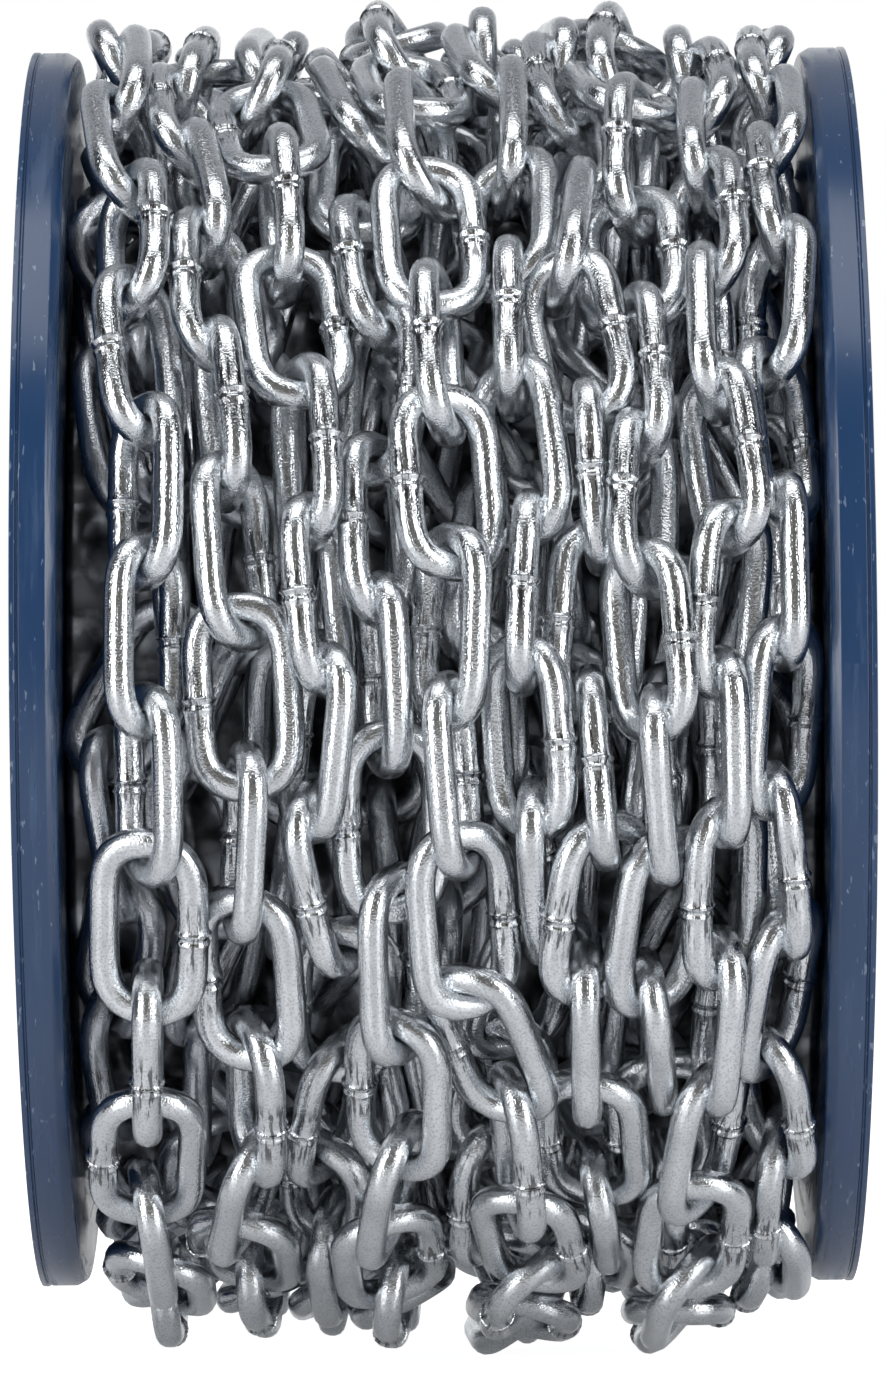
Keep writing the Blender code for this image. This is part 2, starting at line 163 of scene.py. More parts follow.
# %% The turns, read from the front
TURNS = (
    (
        75,
        (-41, -40, -38, -38, -37, -37, -37, -37, -38, -38.5, -40.5, -37.5, -38.5),
        (45, -45, 30, -50, 50, -40, 60, 0, 90, 0, 80, 0),
        (0,) * 13,
    ),
    (
        82,
        (-28, -29.5, -27.5, -28, -26.5, -26.5, -25.5, -25, -24, -23.5, -23, -27, -24),
        (90, -15, 50, -70, 45, -75, 20, 80, 5, 65, -60, 0),
        (0,) * 13,
    ),
    (
        77,
        (-20, -21, -19, -18, -15.5, -16, -14, -13.5, -12.5, -12.5, -13.5, -14, -13),
        (80, 0, 75, -25, 45, -60, 15, -50, 30, -50, 30, 90),
        (0, 0, 0, 0, 0, 0, 0, -3, -5, -5, -5, -5, -3),
    ),
    (
        74.5,
        (-5.5, -6.5, -4.5, -7, -9.5, -9.2, -7.5, -7.3, -5, -4.5, -5.5, -6, -9),
        (90, 10, -70, 40, -30, 90, -5, 80, 0, 90, 0, 75),
        (0, -2, -5, -7, -7, -4, 0, 0, 0, 0, 0, 0, 0),
    ),
    (
        71.5,
        (-17.5, -15.5, -6, -5.3, -2.5, 4.4, 6.9, 5.5, 7, 10, 11, 18, 17),
        (-10, 85, -5, 85, 5, 65, -60, -5, 80, -15, 65, 0),
        (2,) * 13,
    ),
    (
        78,
        (12, 11, 10.3, 11.6, 11.5, 11.7, 11.4, 11, 10, 6, 3, 3, 2),
        (-30, 60, 0, 90, 10, 90, 5, 90, 0, 90, 0, 85),
        (0, 0, 0, 0, 0, 0, -1, -4, -6, -6, -5, -2, 0),
    ),
    (
        77,
        (25.5, 28.5, 26, 24.5, 23.2, 23.6, 21.5, 20, 19.3, 19, 20, 23, 22),
        (-45, 45, -25, 45, -70, 0, -80, 5, 90, 10, -70, 10),
        (0, -1, -4, -3, -2, -2, -1, 0, 0, 0, -2, -4, -4),
    ),
    (
        71,
        (17.5, 22.6, 31.6, 34, 33.7, 31.5, 31.4, 31.8, 28, 29, 31, 31, 30),
        (-30, 80, 0, 75, -57, 5, 90, -40, 90, 0, 90, 0),
        (2, 2, 1, 0, 0, 0, 0, 0, -2, -5, -6, -6, -5),
    ),
    (
        64,
        (38.5, 42, 42.6, 42, 42, 42.3, 43.5, 39.5, 36.4, 34.6, 28.5, 26),
        (-70, 5, 90, 15, 90, 35, -60, 0, 80, 0, -60),
        (0,) * 12,
    ),
    (
        70,
        (44, 44, 44, 44, 44, 44, 44, 44, 44, 44, 44, 42, 42),
        (45, -45, 45, -45, 45, -45, 45, -45, 45, -45, 45, -45),
        (-6, -6, -6, -6, -6, -6, -6, -6, -6, -3, 0, 0, 0),
    ),
)
print(len(TURNS), "turns in the table")

# %% [markdown]
# ## Laying the route
# The front of each turn follows its table. Its back goes round to the next turn's first hook in
# whole links of one pitch, with the sideways step eased in and out. Slack chain hangs lower at
# the bottom, so the radius grows a little from the top to the bottom. All of this is in
# millimetres from the reel's axis.

# %% Lay the route
# A link: its wire and pitch, and the tip, bend and side of the ring of bars that stands for it.
WIRE = 4.0
PITCH = 19.0
LINK_TIP = 11.7
LINK_BEND = 7.2
LINK_SIDE = 5.8
# The layer: the least gap between bars, the core under it, its usual radius, the radius by which
# the links behind are counted, how far a link may stand out, how much lower the layer hangs, and
# how far below the axis it may go.
GAP = 0.37
CORE_RADIUS = 73.0
ROUTE_RADIUS = 86.5
BACK_RADIUS = 85.5
OUTER_REACH = 7.2
SAG = 4.0
FLOOR_DROP = 95.7
# The joints of two turns: how far their links are pushed together, and how many on each side
# share it. Then how many links come up from the layer below, and where across the reel they
# start. The last turn ends so many degrees short of a whole one. At most this share of a pitch's
# square may go into a sideways step.
JOINT_SLACK = 0.8
SLACK_LINKS = 3
LEAD_LINKS = 9
LEAD_ACROSS = -43.5
FREE_END = 100
WIDEST_STEP = 0.7


def route_radius(angle):
    """The usual radius less the sag times the sine of the angle above the level."""
    return ROUTE_RADIUS - SAG * sin(angle)


def route_point(angle, across, lift):
    """The place at an angle: (across, -radius * cosine, radius * sine)."""
    radius = route_radius(angle) + lift
    return (across, -radius * cos(angle), radius * sin(angle))


def front_angles(first, across, lifts):
    """The angle of each hook. A chord of the route, with the sideways step, is one pitch long."""
    angles = [radians(first)]
    for i in range(1, len(across)):
        step = min((across[i] - across[i - 1]) ** 2, WIDEST_STEP * PITCH**2)
        radius = route_radius(angles[-1]) + lifts[i - 1]
        angles.append(angles[-1] - 2 * asin(sqrt(PITCH**2 - step) / 2 / radius))
    return angles


def lay_chain():
    """The hooks, the turn of each link about its length, and the winding that each link is in."""
    first, across, turns, _ = TURNS[0]
    hooks, rolls, windings = [], [], [0] * LEAD_LINKS
    for i in range(LEAD_LINKS, 0, -1):
        part = i / LEAD_LINKS
        x = across[0] + (LEAD_ACROSS - across[0]) * part
        hooks.append(route_point(radians(first) + i * PITCH / BACK_RADIUS, x, 0))
        rolls.append(turns[0] - 90 * i)
    for k, (first, across, turns, lifts) in enumerate(TURNS):
        angles = front_angles(first, across, lifts)
        hooks += [route_point(a, x, lift) for a, x, lift in zip(angles, across, lifts)]
        rolls += turns
        following = TURNS[k + 1] if k + 1 < len(TURNS) else TURNS[k]
        end_angle = radians(following[0]) - tau
        if following is TURNS[k]:
            end_angle += radians(FREE_END)
        end_across, end_roll, end_lift = following[1][0], following[2][0], following[3][0]
        span = angles[-1] - end_angle
        links = int(span * BACK_RADIUS / PITCH)
        for i in range(1, links):
            part = i / links
            ease = part * part * (3 - 2 * part)
            x = across[-1] + (end_across - across[-1]) * ease
            lift = lifts[-1] + (end_lift - lifts[-1]) * ease
            hooks.append(route_point(angles[-1] - span * part, x, lift))
        extra = (end_roll - turns[-1] - 90 * (links + 1) + 90) % 180 - 90
        rolls += [turns[-1] + 90 * j + extra * j / (links + 1) for j in range(1, links + 1)]
        passing = links // 2 if k + 1 < len(TURNS) else 0
        windings += [k] * (len(turns) + links - passing) + [k + 1] * passing
    hooks.append(route_point(end_angle, end_across, end_lift))
    return np.array(hooks), np.radians(rolls), np.array(windings)


LAID_HOOKS, LAID_ROLLS, WINDINGS = lay_chain()
outer_length = len(LAID_ROLLS) * PITCH * MM
print(len(LAID_ROLLS), "links laid,", round(outer_length, 2), "m of chain in the outer layer")

# %% [markdown]
# ## Settling the links
# Laid like that, links of neighbouring turns cut through each other. A rigid-body simulation of
# hooked steel links would be slow and jumpy, so the links are relaxed instead. Each link is a rod
# between two hooks, with a ring of six straight bars around it. The turns start far apart and are
# pushed together. In every round the rods are put back to one pitch, bars that come nearer than
# the wire's thickness and a small gap push their links apart and turn them, and links stay
# between the flanges, outside the core and above the floor.


# %% Frames and distances
def joint_slack(windings):
    """How far each link is pushed along the chain, where one winding's links meet the next one's."""
    slack = np.zeros(len(windings))
    for joint in np.flatnonzero(np.diff(windings)) + 1:
        for i in range(SLACK_LINKS):
            push = JOINT_SLACK * (1 - i / SLACK_LINKS)
            slack[joint - 1 - i] = push
            slack[joint + i] = -push
    return slack


LINK_CAGE = np.array(
    [
        (LINK_TIP, 0),
        (LINK_BEND, LINK_SIDE),
        (-LINK_BEND, LINK_SIDE),
        (-LINK_TIP, 0),
        (-LINK_BEND, -LINK_SIDE),
        (LINK_BEND, -LINK_SIDE),
    ]
)


def link_frames(hooks, rolls, slack):
    """Each link's middle, its direction, and its side direction: cosine of the roll * across the
    reel + sine of the roll * out from the axis, both square to the link."""
    along = unit(hooks[1:] - hooks[:-1])
    middle = (hooks[1:] + hooks[:-1]) / 2 + along * slack[:, None]
    out = middle * (0, 1, 1)
    out = unit(out - along * (out * along).sum(1, keepdims=True))
    across = np.cross(out, along)
    return middle, along, across * np.cos(rolls)[:, None] + out * np.sin(rolls)[:, None]


def link_corners(hooks, rolls, slack):
    """The ring's corners: middle + the corner's first number * along + its second * side."""
    middle, along, side = link_frames(hooks, rolls, slack)
    lengthwise = LINK_CAGE[None, :, :1] * along[:, None]
    return middle[:, None] + lengthwise + LINK_CAGE[None, :, 1:] * side[:, None]


def nearest_points(a0, a1, b0, b1):
    """The nearest points of two straight bars: each one's share along its bar is the solution of
    two linear equations, clipped to the bar's ends."""
    a, b, gap = a1 - a0, b1 - b0, a0 - b0
    aa, bb, ab = (a * a).sum(-1), (b * b).sum(-1), (a * b).sum(-1)
    ag, bg = (a * gap).sum(-1), (b * gap).sum(-1)
    s = np.clip((ab * bg - ag * bb) / np.maximum(aa * bb - ab * ab, 1e-9), 0, 1)
    t = np.clip((ab * s + bg) / bb, 0, 1)
    s = np.clip((ab * t - ag) / aa, 0, 1)
    return a0 + a * s[..., None], b0 + b * t[..., None]


def touching(corners, others, first, second, least):
    """The pairs of links with bars nearer than least, their nearest points and the distance."""
    ends, other_ends = np.roll(corners, -1, axis=1), np.roll(others, -1, axis=1)
    shape = (len(first), len(LINK_CAGE), len(LINK_CAGE), 3)
    bars = [np.broadcast_to(c[first][:, :, None], shape) for c in (corners, ends)]
    bars += [np.broadcast_to(c[second][:, None], shape) for c in (others, other_ends)]
    on_first, on_second = nearest_points(*bars)
    distance = np.linalg.norm(on_first - on_second, axis=-1).reshape(len(first), -1)
    row, pick = np.arange(len(first)), distance.argmin(1)
    near = distance[row, pick]
    hit = near < least
    points = [p.reshape(len(first), -1, 3)[row, pick][hit] for p in (on_first, on_second)]
    return first[hit], second[hit], *points, near[hit]


print("a link's ring has", len(LINK_CAGE), "bars")

# %% Rules of the relaxation
# The squeeze takes its share of all the rounds. The pulls and the other shares are for one round.
# Lengths are in millimetres.
ROUNDS = 520
SQUEEZE_SHARE = 0.55
START_SPACING = 17.0
HOME_PULL = 0.05
ROD_PASSES = 8
NEIGHBOUR_REACH = 31.0
LEAST_TWIST = radians(50)
JOINT_TWIST = radians(86)
TWIST_SHARE = 0.25
SPIN_SHARE = 0.5
SPIN_STIFFNESS = 12.0
PAIRS_EVERY = 3
HOME_FADE = 1.6


def keep_pitch(hooks):
    """Moves neighbouring hooks to one pitch apart, even links first and then odd ones."""
    for _ in range(ROD_PASSES):
        for start in (0, 1):
            i = np.arange(start, len(hooks) - 1, 2)
            step = hooks[i + 1] - hooks[i]
            move = step * (1 - PITCH / np.linalg.norm(step, axis=1, keepdims=True)) / 2
            hooks[i] += move
            hooks[i + 1] -= move


def push_links(hooks, rolls, frames, pushes):
    """Each push moves its link's two hooks in the shares that move the touched point, and turns
    the link by share * depth * arm / (arm squared + stiffness). Pushes on one hook or link are
    averaged."""
    middle, along, _ = frames
    move, moves = np.zeros_like(hooks), np.zeros(len(hooks))
    spin, spins = np.zeros(len(rolls)), np.zeros(len(rolls))
    for link, point, push in pushes:
        place = ((point - middle[link]) * along[link]).sum(1) / (PITCH / 2)
        late = np.clip((1 + place) / 2, 0, 1)
        early = 1 - late
        scale = early * early + late * late
        for hook, share in ((link, early / scale), (link + 1, late / scale)):
            np.add.at(move, hook, push / 2 * share[:, None])
            np.add.at(moves, hook, share)
        depth = np.linalg.norm(push, axis=1)
        arm = (np.cross(along[link], point - middle[link]) * push).sum(1) / np.maximum(depth, 1e-9)
        np.add.at(spin, link, SPIN_SHARE * depth * arm / (arm * arm + SPIN_STIFFNESS))
        np.add.at(spins, link, 1)
    hooks += move / np.maximum(moves, 1)[:, None]
    rolls += spin / np.maximum(spins, 1)


def push_apart(hooks, rolls, slack, first, second):
    """Moves and turns each pair of links that touch, so that they part by half each."""
    least = WIRE + GAP
    frames = link_frames(hooks, rolls, slack)
    corners = link_corners(hooks, rolls, slack)
    first, second, on_first, on_second, near = touching(corners, corners, first, second, least)
    push = (on_first - on_second) / np.maximum(near, 1e-6)[:, None] * (least - near)[:, None]
    push_links(hooks, rolls, frames, ((first, on_first, push), (second, on_second, -push)))


def keep_twist(rolls, least):
    """Neighbouring links stay turned well away from each other, as hooked links are."""
    twist = (rolls[1:] - rolls[:-1] + pi / 2) % pi - pi / 2
    short = np.maximum(least - np.abs(twist), 0) * TWIST_SHARE
    fix = np.where(twist >= 0, short, -short)
    rolls[1:] += fix
    rolls[:-1] -= fix


def keep_inside(hooks, rolls, slack, half_width, core_radius):
    """Keeps the links between the flanges, near the core but outside it, and above the floor."""
    corners = link_corners(hooks, rolls, slack)
    limit = half_width - WIRE / 2 - GAP
    shift = np.minimum(limit - corners[..., 0].max(1), 0)
    shift += np.maximum(-limit - corners[..., 0].min(1), 0)
    hooks[:-1, 0] += shift / 2
    hooks[1:, 0] += shift / 2
    between = (corners + np.roll(corners, -1, axis=1)) / 2
    radius = np.linalg.norm(np.concatenate([corners, between], axis=1)[..., 1:], axis=2).min(1)
    lift = np.maximum(core_radius + WIRE / 2 + GAP - radius, 0) / 2
    outer = np.linalg.norm(corners[..., 1:], axis=2).max(1)
    height = corners.mean(axis=1)[:, 2] / outer
    lift += np.minimum(ROUTE_RADIUS - SAG * height + OUTER_REACH - outer, 0) / 2
    out = unit((hooks[1:] + hooks[:-1]) * (0, 1, 1)) * lift[:, None]
    hooks[:-1] += out
    hooks[1:] += out
    rise = np.maximum(WIRE / 2 - FLOOR_DROP - corners[..., 2].min(1), 0) / 2
    hooks[:-1, 2] += rise
    hooks[1:, 2] += rise


print("relaxation:", ROUNDS, "rounds")


# %% Settle the outer layer
def settle(hooks, rolls, windings):
    """Pushes the turns together from far apart, until each lies on its neighbours. The walls start
    a quarter of the turns' whole width further out on each side and close in with them. Once they
    are together, the pull towards the laid places fades out."""
    home, home_rolls = hooks.copy(), rolls.copy()
    least_twist = np.where(np.diff(windings) == 0, LEAST_TWIST, JOINT_TWIST)
    slack = joint_slack(windings)
    angle = np.unwrap(np.arctan2(home[:, 2], -home[:, 1]))
    far = home.copy()
    far[:, 0] = START_SPACING * ((angle[0] + angle[-1]) / 2 - angle) / tau
    hooks, rolls = far.copy(), rolls.copy()
    half_width = INNER_FACE / MM
    for k in range(ROUNDS):
        done = min(k / (ROUNDS * SQUEEZE_SHARE), 1)
        keep_pitch(hooks)
        if k % PAIRS_EVERY == 0:
            middle = (hooks[1:] + hooks[:-1]) / 2
            apart = np.linalg.norm(middle[:, None] - middle[None], axis=2)
            first, second = np.nonzero(np.triu(apart < NEIGHBOUR_REACH, 2))
        push_apart(hooks, rolls, slack, first, second)
        keep_twist(rolls, least_twist)
        spread = (1 - done) * len(TURNS) * START_SPACING / 4
        keep_inside(hooks, rolls, slack, half_width + spread, CORE_RADIUS)
        late = max(k / ROUNDS - SQUEEZE_SHARE, 0) / (1 - SQUEEZE_SHARE)
        pull = HOME_PULL * max(0, 1 - HOME_FADE * late)
        goal = far * (1 - done) + home * done
        hooks += (goal - hooks) * pull
        rolls += (home_rolls - rolls) * pull / 2
    keep_pitch(hooks)
    return hooks, rolls, slack


HOOKS, ROLLS, SLACK = settle(LAID_HOOKS, LAID_ROLLS, WINDINGS)
lowest_bar = link_corners(HOOKS, ROLLS, SLACK)[..., 2].min() - WIRE / 2
print("settled: the lowest bar is", round(-lowest_bar, 2), "mm below the axis")

# %% [markdown]
# ## The layer below
# Between the outer turns the next layer shows, deep in shadow. It is wound the other way, it lies
# in the hollows of the layer above it, and it hangs slack at the bottom too. So it starts well
# inside, is pulled outward, and is held back wherever it touches the outer links, which stay
# where they are.

# %% Settle the layer below
UNDER_TURNS = 9.5
UNDER_START_DEPTH = 10.0
UNDER_GOAL_RADIUS = 76.0
UNDER_SAG = 4.5
UNDER_ACROSS = 43.0
UNDER_FIRST_ANGLE = radians(200)
UNDER_ROUNDS = 150
UNDER_CORE_RADIUS = 58.0
UNDER_PULL = 0.03
UNDER_FADE = 1.3
UNDER_SEED = 7
UNDER_ROLL_SPREAD = 0.3


def settle_under(outer_corners):
    """A helix of links from right to left, drawn outward against the fixed outer layer. A link that
    meets an outer one moves half away from it and half towards the axis."""
    count = int(UNDER_TURNS * tau * UNDER_GOAL_RADIUS / PITCH)
    part = np.arange(count + 1) / count
    angle = UNDER_FIRST_ANGLE - UNDER_TURNS * tau * part
    ways = np.stack([np.zeros_like(angle), -np.cos(angle), np.sin(angle)], axis=1)
    across = UNDER_ACROSS * (1 - 2 * part)
    sideways = np.stack([across, across * 0, across * 0], axis=1)
    reach = (UNDER_GOAL_RADIUS - UNDER_SAG * np.sin(angle))[:, None]
    hooks = ways * (reach - UNDER_START_DEPTH) + sideways
    goal = ways * reach + sideways
    rng = np.random.default_rng(UNDER_SEED)
    rolls = radians(45) + pi / 2 * np.arange(count) + rng.normal(0, UNDER_ROLL_SPREAD, count)
    slack = np.zeros(count)
    least = WIRE + GAP
    outer_middle = outer_corners.mean(axis=1)
    for k in range(UNDER_ROUNDS):
        keep_pitch(hooks)
        if k % PAIRS_EVERY == 0:
            middle = (hooks[1:] + hooks[:-1]) / 2
            apart = np.linalg.norm(middle[:, None] - middle[None], axis=2)
            first, second = np.nonzero(np.triu(apart < NEIGHBOUR_REACH, 2))
            apart = np.linalg.norm(middle[:, None] - outer_middle[None], axis=2)
            mine, theirs = np.nonzero(apart < NEIGHBOUR_REACH)
        push_apart(hooks, rolls, slack, first, second)
        corners = link_corners(hooks, rolls, slack)
        link, _, on_link, on_outer, near = touching(corners, outer_corners, mine, theirs, least)
        way = unit(on_link - on_outer) * 0.5 + unit(-on_link * (0, 1, 1)) * 0.5
        push = way * 2 * (least - near)[:, None]
        push_links(hooks, rolls, link_frames(hooks, rolls, slack), ((link, on_link, push),))
        keep_twist(rolls, LEAST_TWIST)
        keep_inside(hooks, rolls, slack, INNER_FACE / MM, UNDER_CORE_RADIUS)
        hooks += (goal - hooks) * UNDER_PULL * max(0, 1 - UNDER_FADE * k / UNDER_ROUNDS)
    keep_pitch(hooks)
    return hooks, rolls, slack


UNDER = settle_under(link_corners(HOOKS, ROLLS, SLACK))
print(len(UNDER[1]), "links in the layer below, at radius",
      round(float(np.linalg.norm(UNDER[0][:, 1:], axis=1).mean()), 1), "mm on average")

# %% [markdown]
# ## One round link
# A link is a piece of 4 mm wire bent into an oval and butt-welded in the middle of one side. The
# weld leaves a thin raised ring, with a lower one beside it. The link is a tube around an oval
# line, made as a coarse cage of a few dozen faces with a Subdivision Surface on it. A smoothed
# cage shrinks away from its own corners, so the cage is solved for: the smooth surface of a closed
# grid passes, at each corner, through (the corner before + 4 times the corner + the corner after)
# / 6, both ways.

# %% The link's cage
# The half circles of the wire's middle line, their centres and the angles of their corners, then
# the places of the corners along the straight sides, how much each ring of the weld rises at its
# place, and how many corners go around the wire. Lengths are in millimetres.
END_RADIUS = 5.75
END_CENTRE = 5.85
END_ANGLES = np.radians((-66, -24, 24, 66))
PLAIN_STATIONS = (3.0, -3.0)
WELD_STATIONS = (4.0, 1.9, 1.35, 0.95, 0.5, 0.0, -0.5, -3.8)
WELD_RINGS = {0.0: 0.34, 1.35: 0.16}
AROUND = 4


def oval_line(side_stations):
    """Points and outward directions along the oval: a half circle at each end, and straight sides.
    The upper side's corners lie at side_stations, and the lower side's at the plain ones."""
    end = np.stack([np.cos(END_ANGLES), np.sin(END_ANGLES)], axis=1)
    top, low = np.array(side_stations, float), np.array(PLAIN_STATIONS[::-1], float)
    right = end * END_RADIUS + (END_CENTRE, 0)
    left = -end * END_RADIUS - (END_CENTRE, 0)
    upper = np.stack([top, np.full(len(top), END_RADIUS)], axis=1)
    lower = np.stack([low, np.full(len(low), -END_RADIUS)], axis=1)
    line = np.concatenate([right, upper, left, lower])
    up, down = np.tile((0.0, 1.0), (len(top), 1)), np.tile((0.0, -1.0), (len(low), 1))
    return line, np.concatenate([end, up, -end, down])


def solve_cage(wanted):
    """The closed grid of corners whose smooth surface passes through the wanted points."""
    for axis in (0, 1):
        count = wanted.shape[axis]
        one = np.eye(count)
        rule = one * 4 / 6 + (np.roll(one, 1, 0) + np.roll(one, -1, 0)) / 6
        facing = np.moveaxis(wanted, axis, 0)
        solved = np.linalg.solve(rule, facing.reshape(count, -1)).reshape(facing.shape)
        wanted = np.moveaxis(solved, 0, axis)
    return wanted


def link_cage(side_stations):
    """A tube of the wire's radius around the oval: point = line + radius * (cosine of the turn *
    outward + sine of the turn * the link's flat direction). The weld's rings have a larger radius."""
    line, outward = oval_line(side_stations)
    radius = np.full(len(line), WIRE / 2)
    for place, rise in WELD_RINGS.items():
        radius[(np.abs(line[:, 0] - place) < 0.01) & (line[:, 1] > 0)] += rise
    turn = tau * (np.arange(AROUND) + 0.5) / AROUND
    reach = radius[:, None] * np.cos(turn)
    flat = radius[:, None] * np.sin(turn)
    wanted = np.empty((len(line), AROUND, 3))
    wanted[..., :2] = line[:, None] + outward[:, None] * reach[..., None]
    wanted[..., 2] = flat
    return solve_cage(wanted)


OUTER_LINK = link_cage(WELD_STATIONS)
UNDER_LINK = link_cage(PLAIN_STATIONS)
outer_faces, under_faces = (len(cage) * AROUND for cage in (OUTER_LINK, UNDER_LINK))
print("a link's cage has", outer_faces, "faces in the outer layer, and", under_faces, "below")

# %% [markdown]
# ## A turn of links
# All the links of a turn are placed at once: each link's own three directions carry the cage's
# points to their places. Each link is a little longer, wider or more bent than the next. Its weld
# may be on either side, which is the same link turned over, and no two welds swell alike.
#
# Three layers of numbers go with the mesh for the finish. A UV map runs along the wire and around
# it in millimetres, with every link on its own stretch, so drawn lines and scratches follow the
# bend. One point attribute says how near a place is to a bent end, where the plating is
# stretched, and another how near it is to the weld.

# %% Build links
LINK_UNEVEN = 0.015
WELD_REACH = 2.2
WELD_UNEVEN = 0.09
WELD_MARKS_REACH = 6.0
WIRE_STRETCHES = 1000
OUTER_LEVELS = 2


def place_links(cage, frames, seed):
    """Each cage point goes to middle + x * along + y * side + z * flat, in metres."""
    middle, along, side = frames
    flat = np.cross(along, side)
    rng = np.random.default_rng(seed)
    count = len(middle)
    length = 1 + rng.uniform(-1, 1, count) * LINK_UNEVEN
    width = 1 + rng.uniform(-2, 2, count) * LINK_UNEVEN
    over = np.where(rng.random(count) < 0.5, 1.0, -1.0)
    skew = rng.normal(0, LINK_UNEVEN, count)
    middle_line = cage.mean(axis=1, keepdims=True)
    near_weld = (np.abs(middle_line[..., 0]) < WELD_REACH) & (middle_line[..., 1] > 0)
    swell = 1 + near_weld[None] * rng.uniform(-0.3, 1, (count, 1, AROUND)) * WELD_UNEVEN
    shape = middle_line[None] + (cage - middle_line)[None] * swell[..., None]
    x = shape[..., 0] * length[:, None, None]
    y = shape[..., 1] * (width * over)[:, None, None] + x * skew[:, None, None]
    z = shape[..., 2] * over[:, None, None]
    places = middle[:, None, None] + x[..., None] * along[:, None, None]
    places = places + y[..., None] * side[:, None, None] + z[..., None] * flat[:, None, None]
    return places * MM + (0, 0, AXIS_HEIGHT)


def add_link_layers(mesh, cage, count, seed):
    """The UV map (along, around), and the attributes that tell how bent the wire is at a place, from
    0 on the sides to 1 at the tips, and how near the weld it is, from 0 to 1."""
    rows, columns = cage.shape[:2]
    line = cage.mean(axis=1)
    steps = np.linalg.norm(np.roll(line, -1, axis=0) - line, axis=1)
    start = np.concatenate([[0], np.cumsum(steps)])
    around = np.linspace(0, pi * WIRE, columns + 1)
    i, j = np.meshgrid(np.arange(rows), np.arange(columns), indexing="ij")
    u = np.stack([start[i], start[i + 1], start[i + 1], start[i]], axis=-1).reshape(-1, 4)
    v = np.stack([around[j], around[j], around[j + 1], around[j + 1]], axis=-1).reshape(-1, 4)
    shift = np.random.default_rng(seed).uniform(0, WIRE_STRETCHES, (count, 1, 1))
    uv = np.stack([(u[None] + shift).ravel(), np.tile(v.ravel(), count)], axis=1)
    layer = mesh.uv_layers.new(name="wire")
    layer.data.foreach_set("uv", uv.astype(np.float32).ravel())
    bent = np.clip((np.abs(line[:, 0]) - END_CENTRE) / END_RADIUS, 0, 1)
    bent = np.tile(np.repeat(bent, columns), count)
    bend = mesh.attributes.new("bend", "FLOAT", "POINT")
    bend.data.foreach_set("value", bent.astype(np.float32))
    weld = np.where(line[:, 1] > 0, np.clip(1 - np.abs(line[:, 0]) / WELD_MARKS_REACH, 0, 1), 0)
    near_weld = mesh.attributes.new("weld", "FLOAT", "POINT")
    near_weld.data.foreach_set("value", np.tile(np.repeat(weld, columns), count).astype(np.float32))


def make_links(name, cage, frames, seed, levels):
    """One object with a link at each of the frames, and a smooth surface on all of them."""
    points = place_links(cage, frames, seed)
    quads = grid_faces(cage.shape[0], cage.shape[1], len(points))
    thing = mesh_object(name, points.reshape(-1, 3), quads)
    add_link_layers(thing.data, cage, len(points), seed)
    subdivide(thing, levels)
    return thing


MIDDLE, ALONG, SIDE = link_frames(HOOKS, ROLLS, SLACK)
chain_pieces = []
for k in range(len(TURNS)):
    chosen = WINDINGS == k
    node = f"chain_turn_{k + 1:02d}"
    here = (MIDDLE[chosen], ALONG[chosen], SIDE[chosen])
    piece = make_links(f"links_of_turn_{k + 1:02d}", OUTER_LINK, here, k, OUTER_LEVELS)
    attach(piece, "root")
    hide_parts(node)
    chain_pieces.append(piece)
print(len(chain_pieces), "turns of round links made")

# %% Build the layer below
UNDER_PIECES = 3
UNDER_LEVELS = 1
UNDER_FIRST_SEED = 100
under_frames = link_frames(*UNDER)
under_pieces = []
for k, chosen in enumerate(np.array_split(np.arange(len(UNDER[1])), UNDER_PIECES)):
    here = [part[chosen] for part in under_frames]
    piece = make_links(f"links_below_{k + 1}", UNDER_LINK, here, UNDER_FIRST_SEED + k, UNDER_LEVELS)
    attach(piece, "root")
    under_pieces.append(piece)
print(len(under_pieces), "pieces of the layer below made")

# %% [markdown]
# ## The wound core
# Under the second layer nothing but darkness and a glint of links is seen. A ring with rows of
# low bumps, a little shorter than the links they stand for, gives that for far fewer faces than
# links would take; its colour is painted shade, with painted glints. It hangs slack at the bottom as the
# layers above it do.

# %% The core
CORE_SURFACE = 0.063
CORE_SAG = 0.0045
CORE_BUMP = 0.003
CORE_BUMPS_ROUND = 26
CORE_ROW_WIDTH = 0.0096
CORE_ROWS = 240
CORE_COLUMNS = 96
CORE_END_GAP = 0.0004
CORE_BARREL_GAP = 0.0008
BARREL_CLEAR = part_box("barrel")[1].y + CORE_BARREL_GAP


def make_core():
    """A ring of two skins. The outer radius = surface - sag * sine of the angle above the level +
    bump * |sine of the angle times half the bumps round| * |cosine of pi times the place across in
    rows|, and every second row is half a bump further on. The inner skin is plain, just outside
    the barrel."""
    angle = tau * np.arange(CORE_ROWS) / CORE_ROWS
    half = INNER_FACE - CORE_END_GAP
    across = np.linspace(-half, half, CORE_COLUMNS)
    row = np.round(across / CORE_ROW_WIDTH)[None]
    wave = np.abs(np.sin(angle[:, None] * CORE_BUMPS_ROUND / 2 + pi * row / 2))
    ridge = np.abs(np.cos(pi * across / CORE_ROW_WIDTH))[None]
    outside = CORE_SURFACE - CORE_SAG * np.sin(angle)[:, None] + CORE_BUMP * wave * ridge
    inside = np.full((CORE_ROWS, 2), BARREL_CLEAR)
    radius = np.concatenate([outside, inside], axis=1)
    place = np.concatenate([across, (half, -half)])
    points = np.stack(
        [
            np.tile(place, (CORE_ROWS, 1)),
            -radius * np.cos(angle)[:, None],
            AXIS_HEIGHT + radius * np.sin(angle)[:, None],
        ],
        axis=-1,
    )
    quads = grid_faces(CORE_ROWS, CORE_COLUMNS + 2)
    return mesh_object("wound_core", points.reshape(-1, 3), quads[:, ::-1])


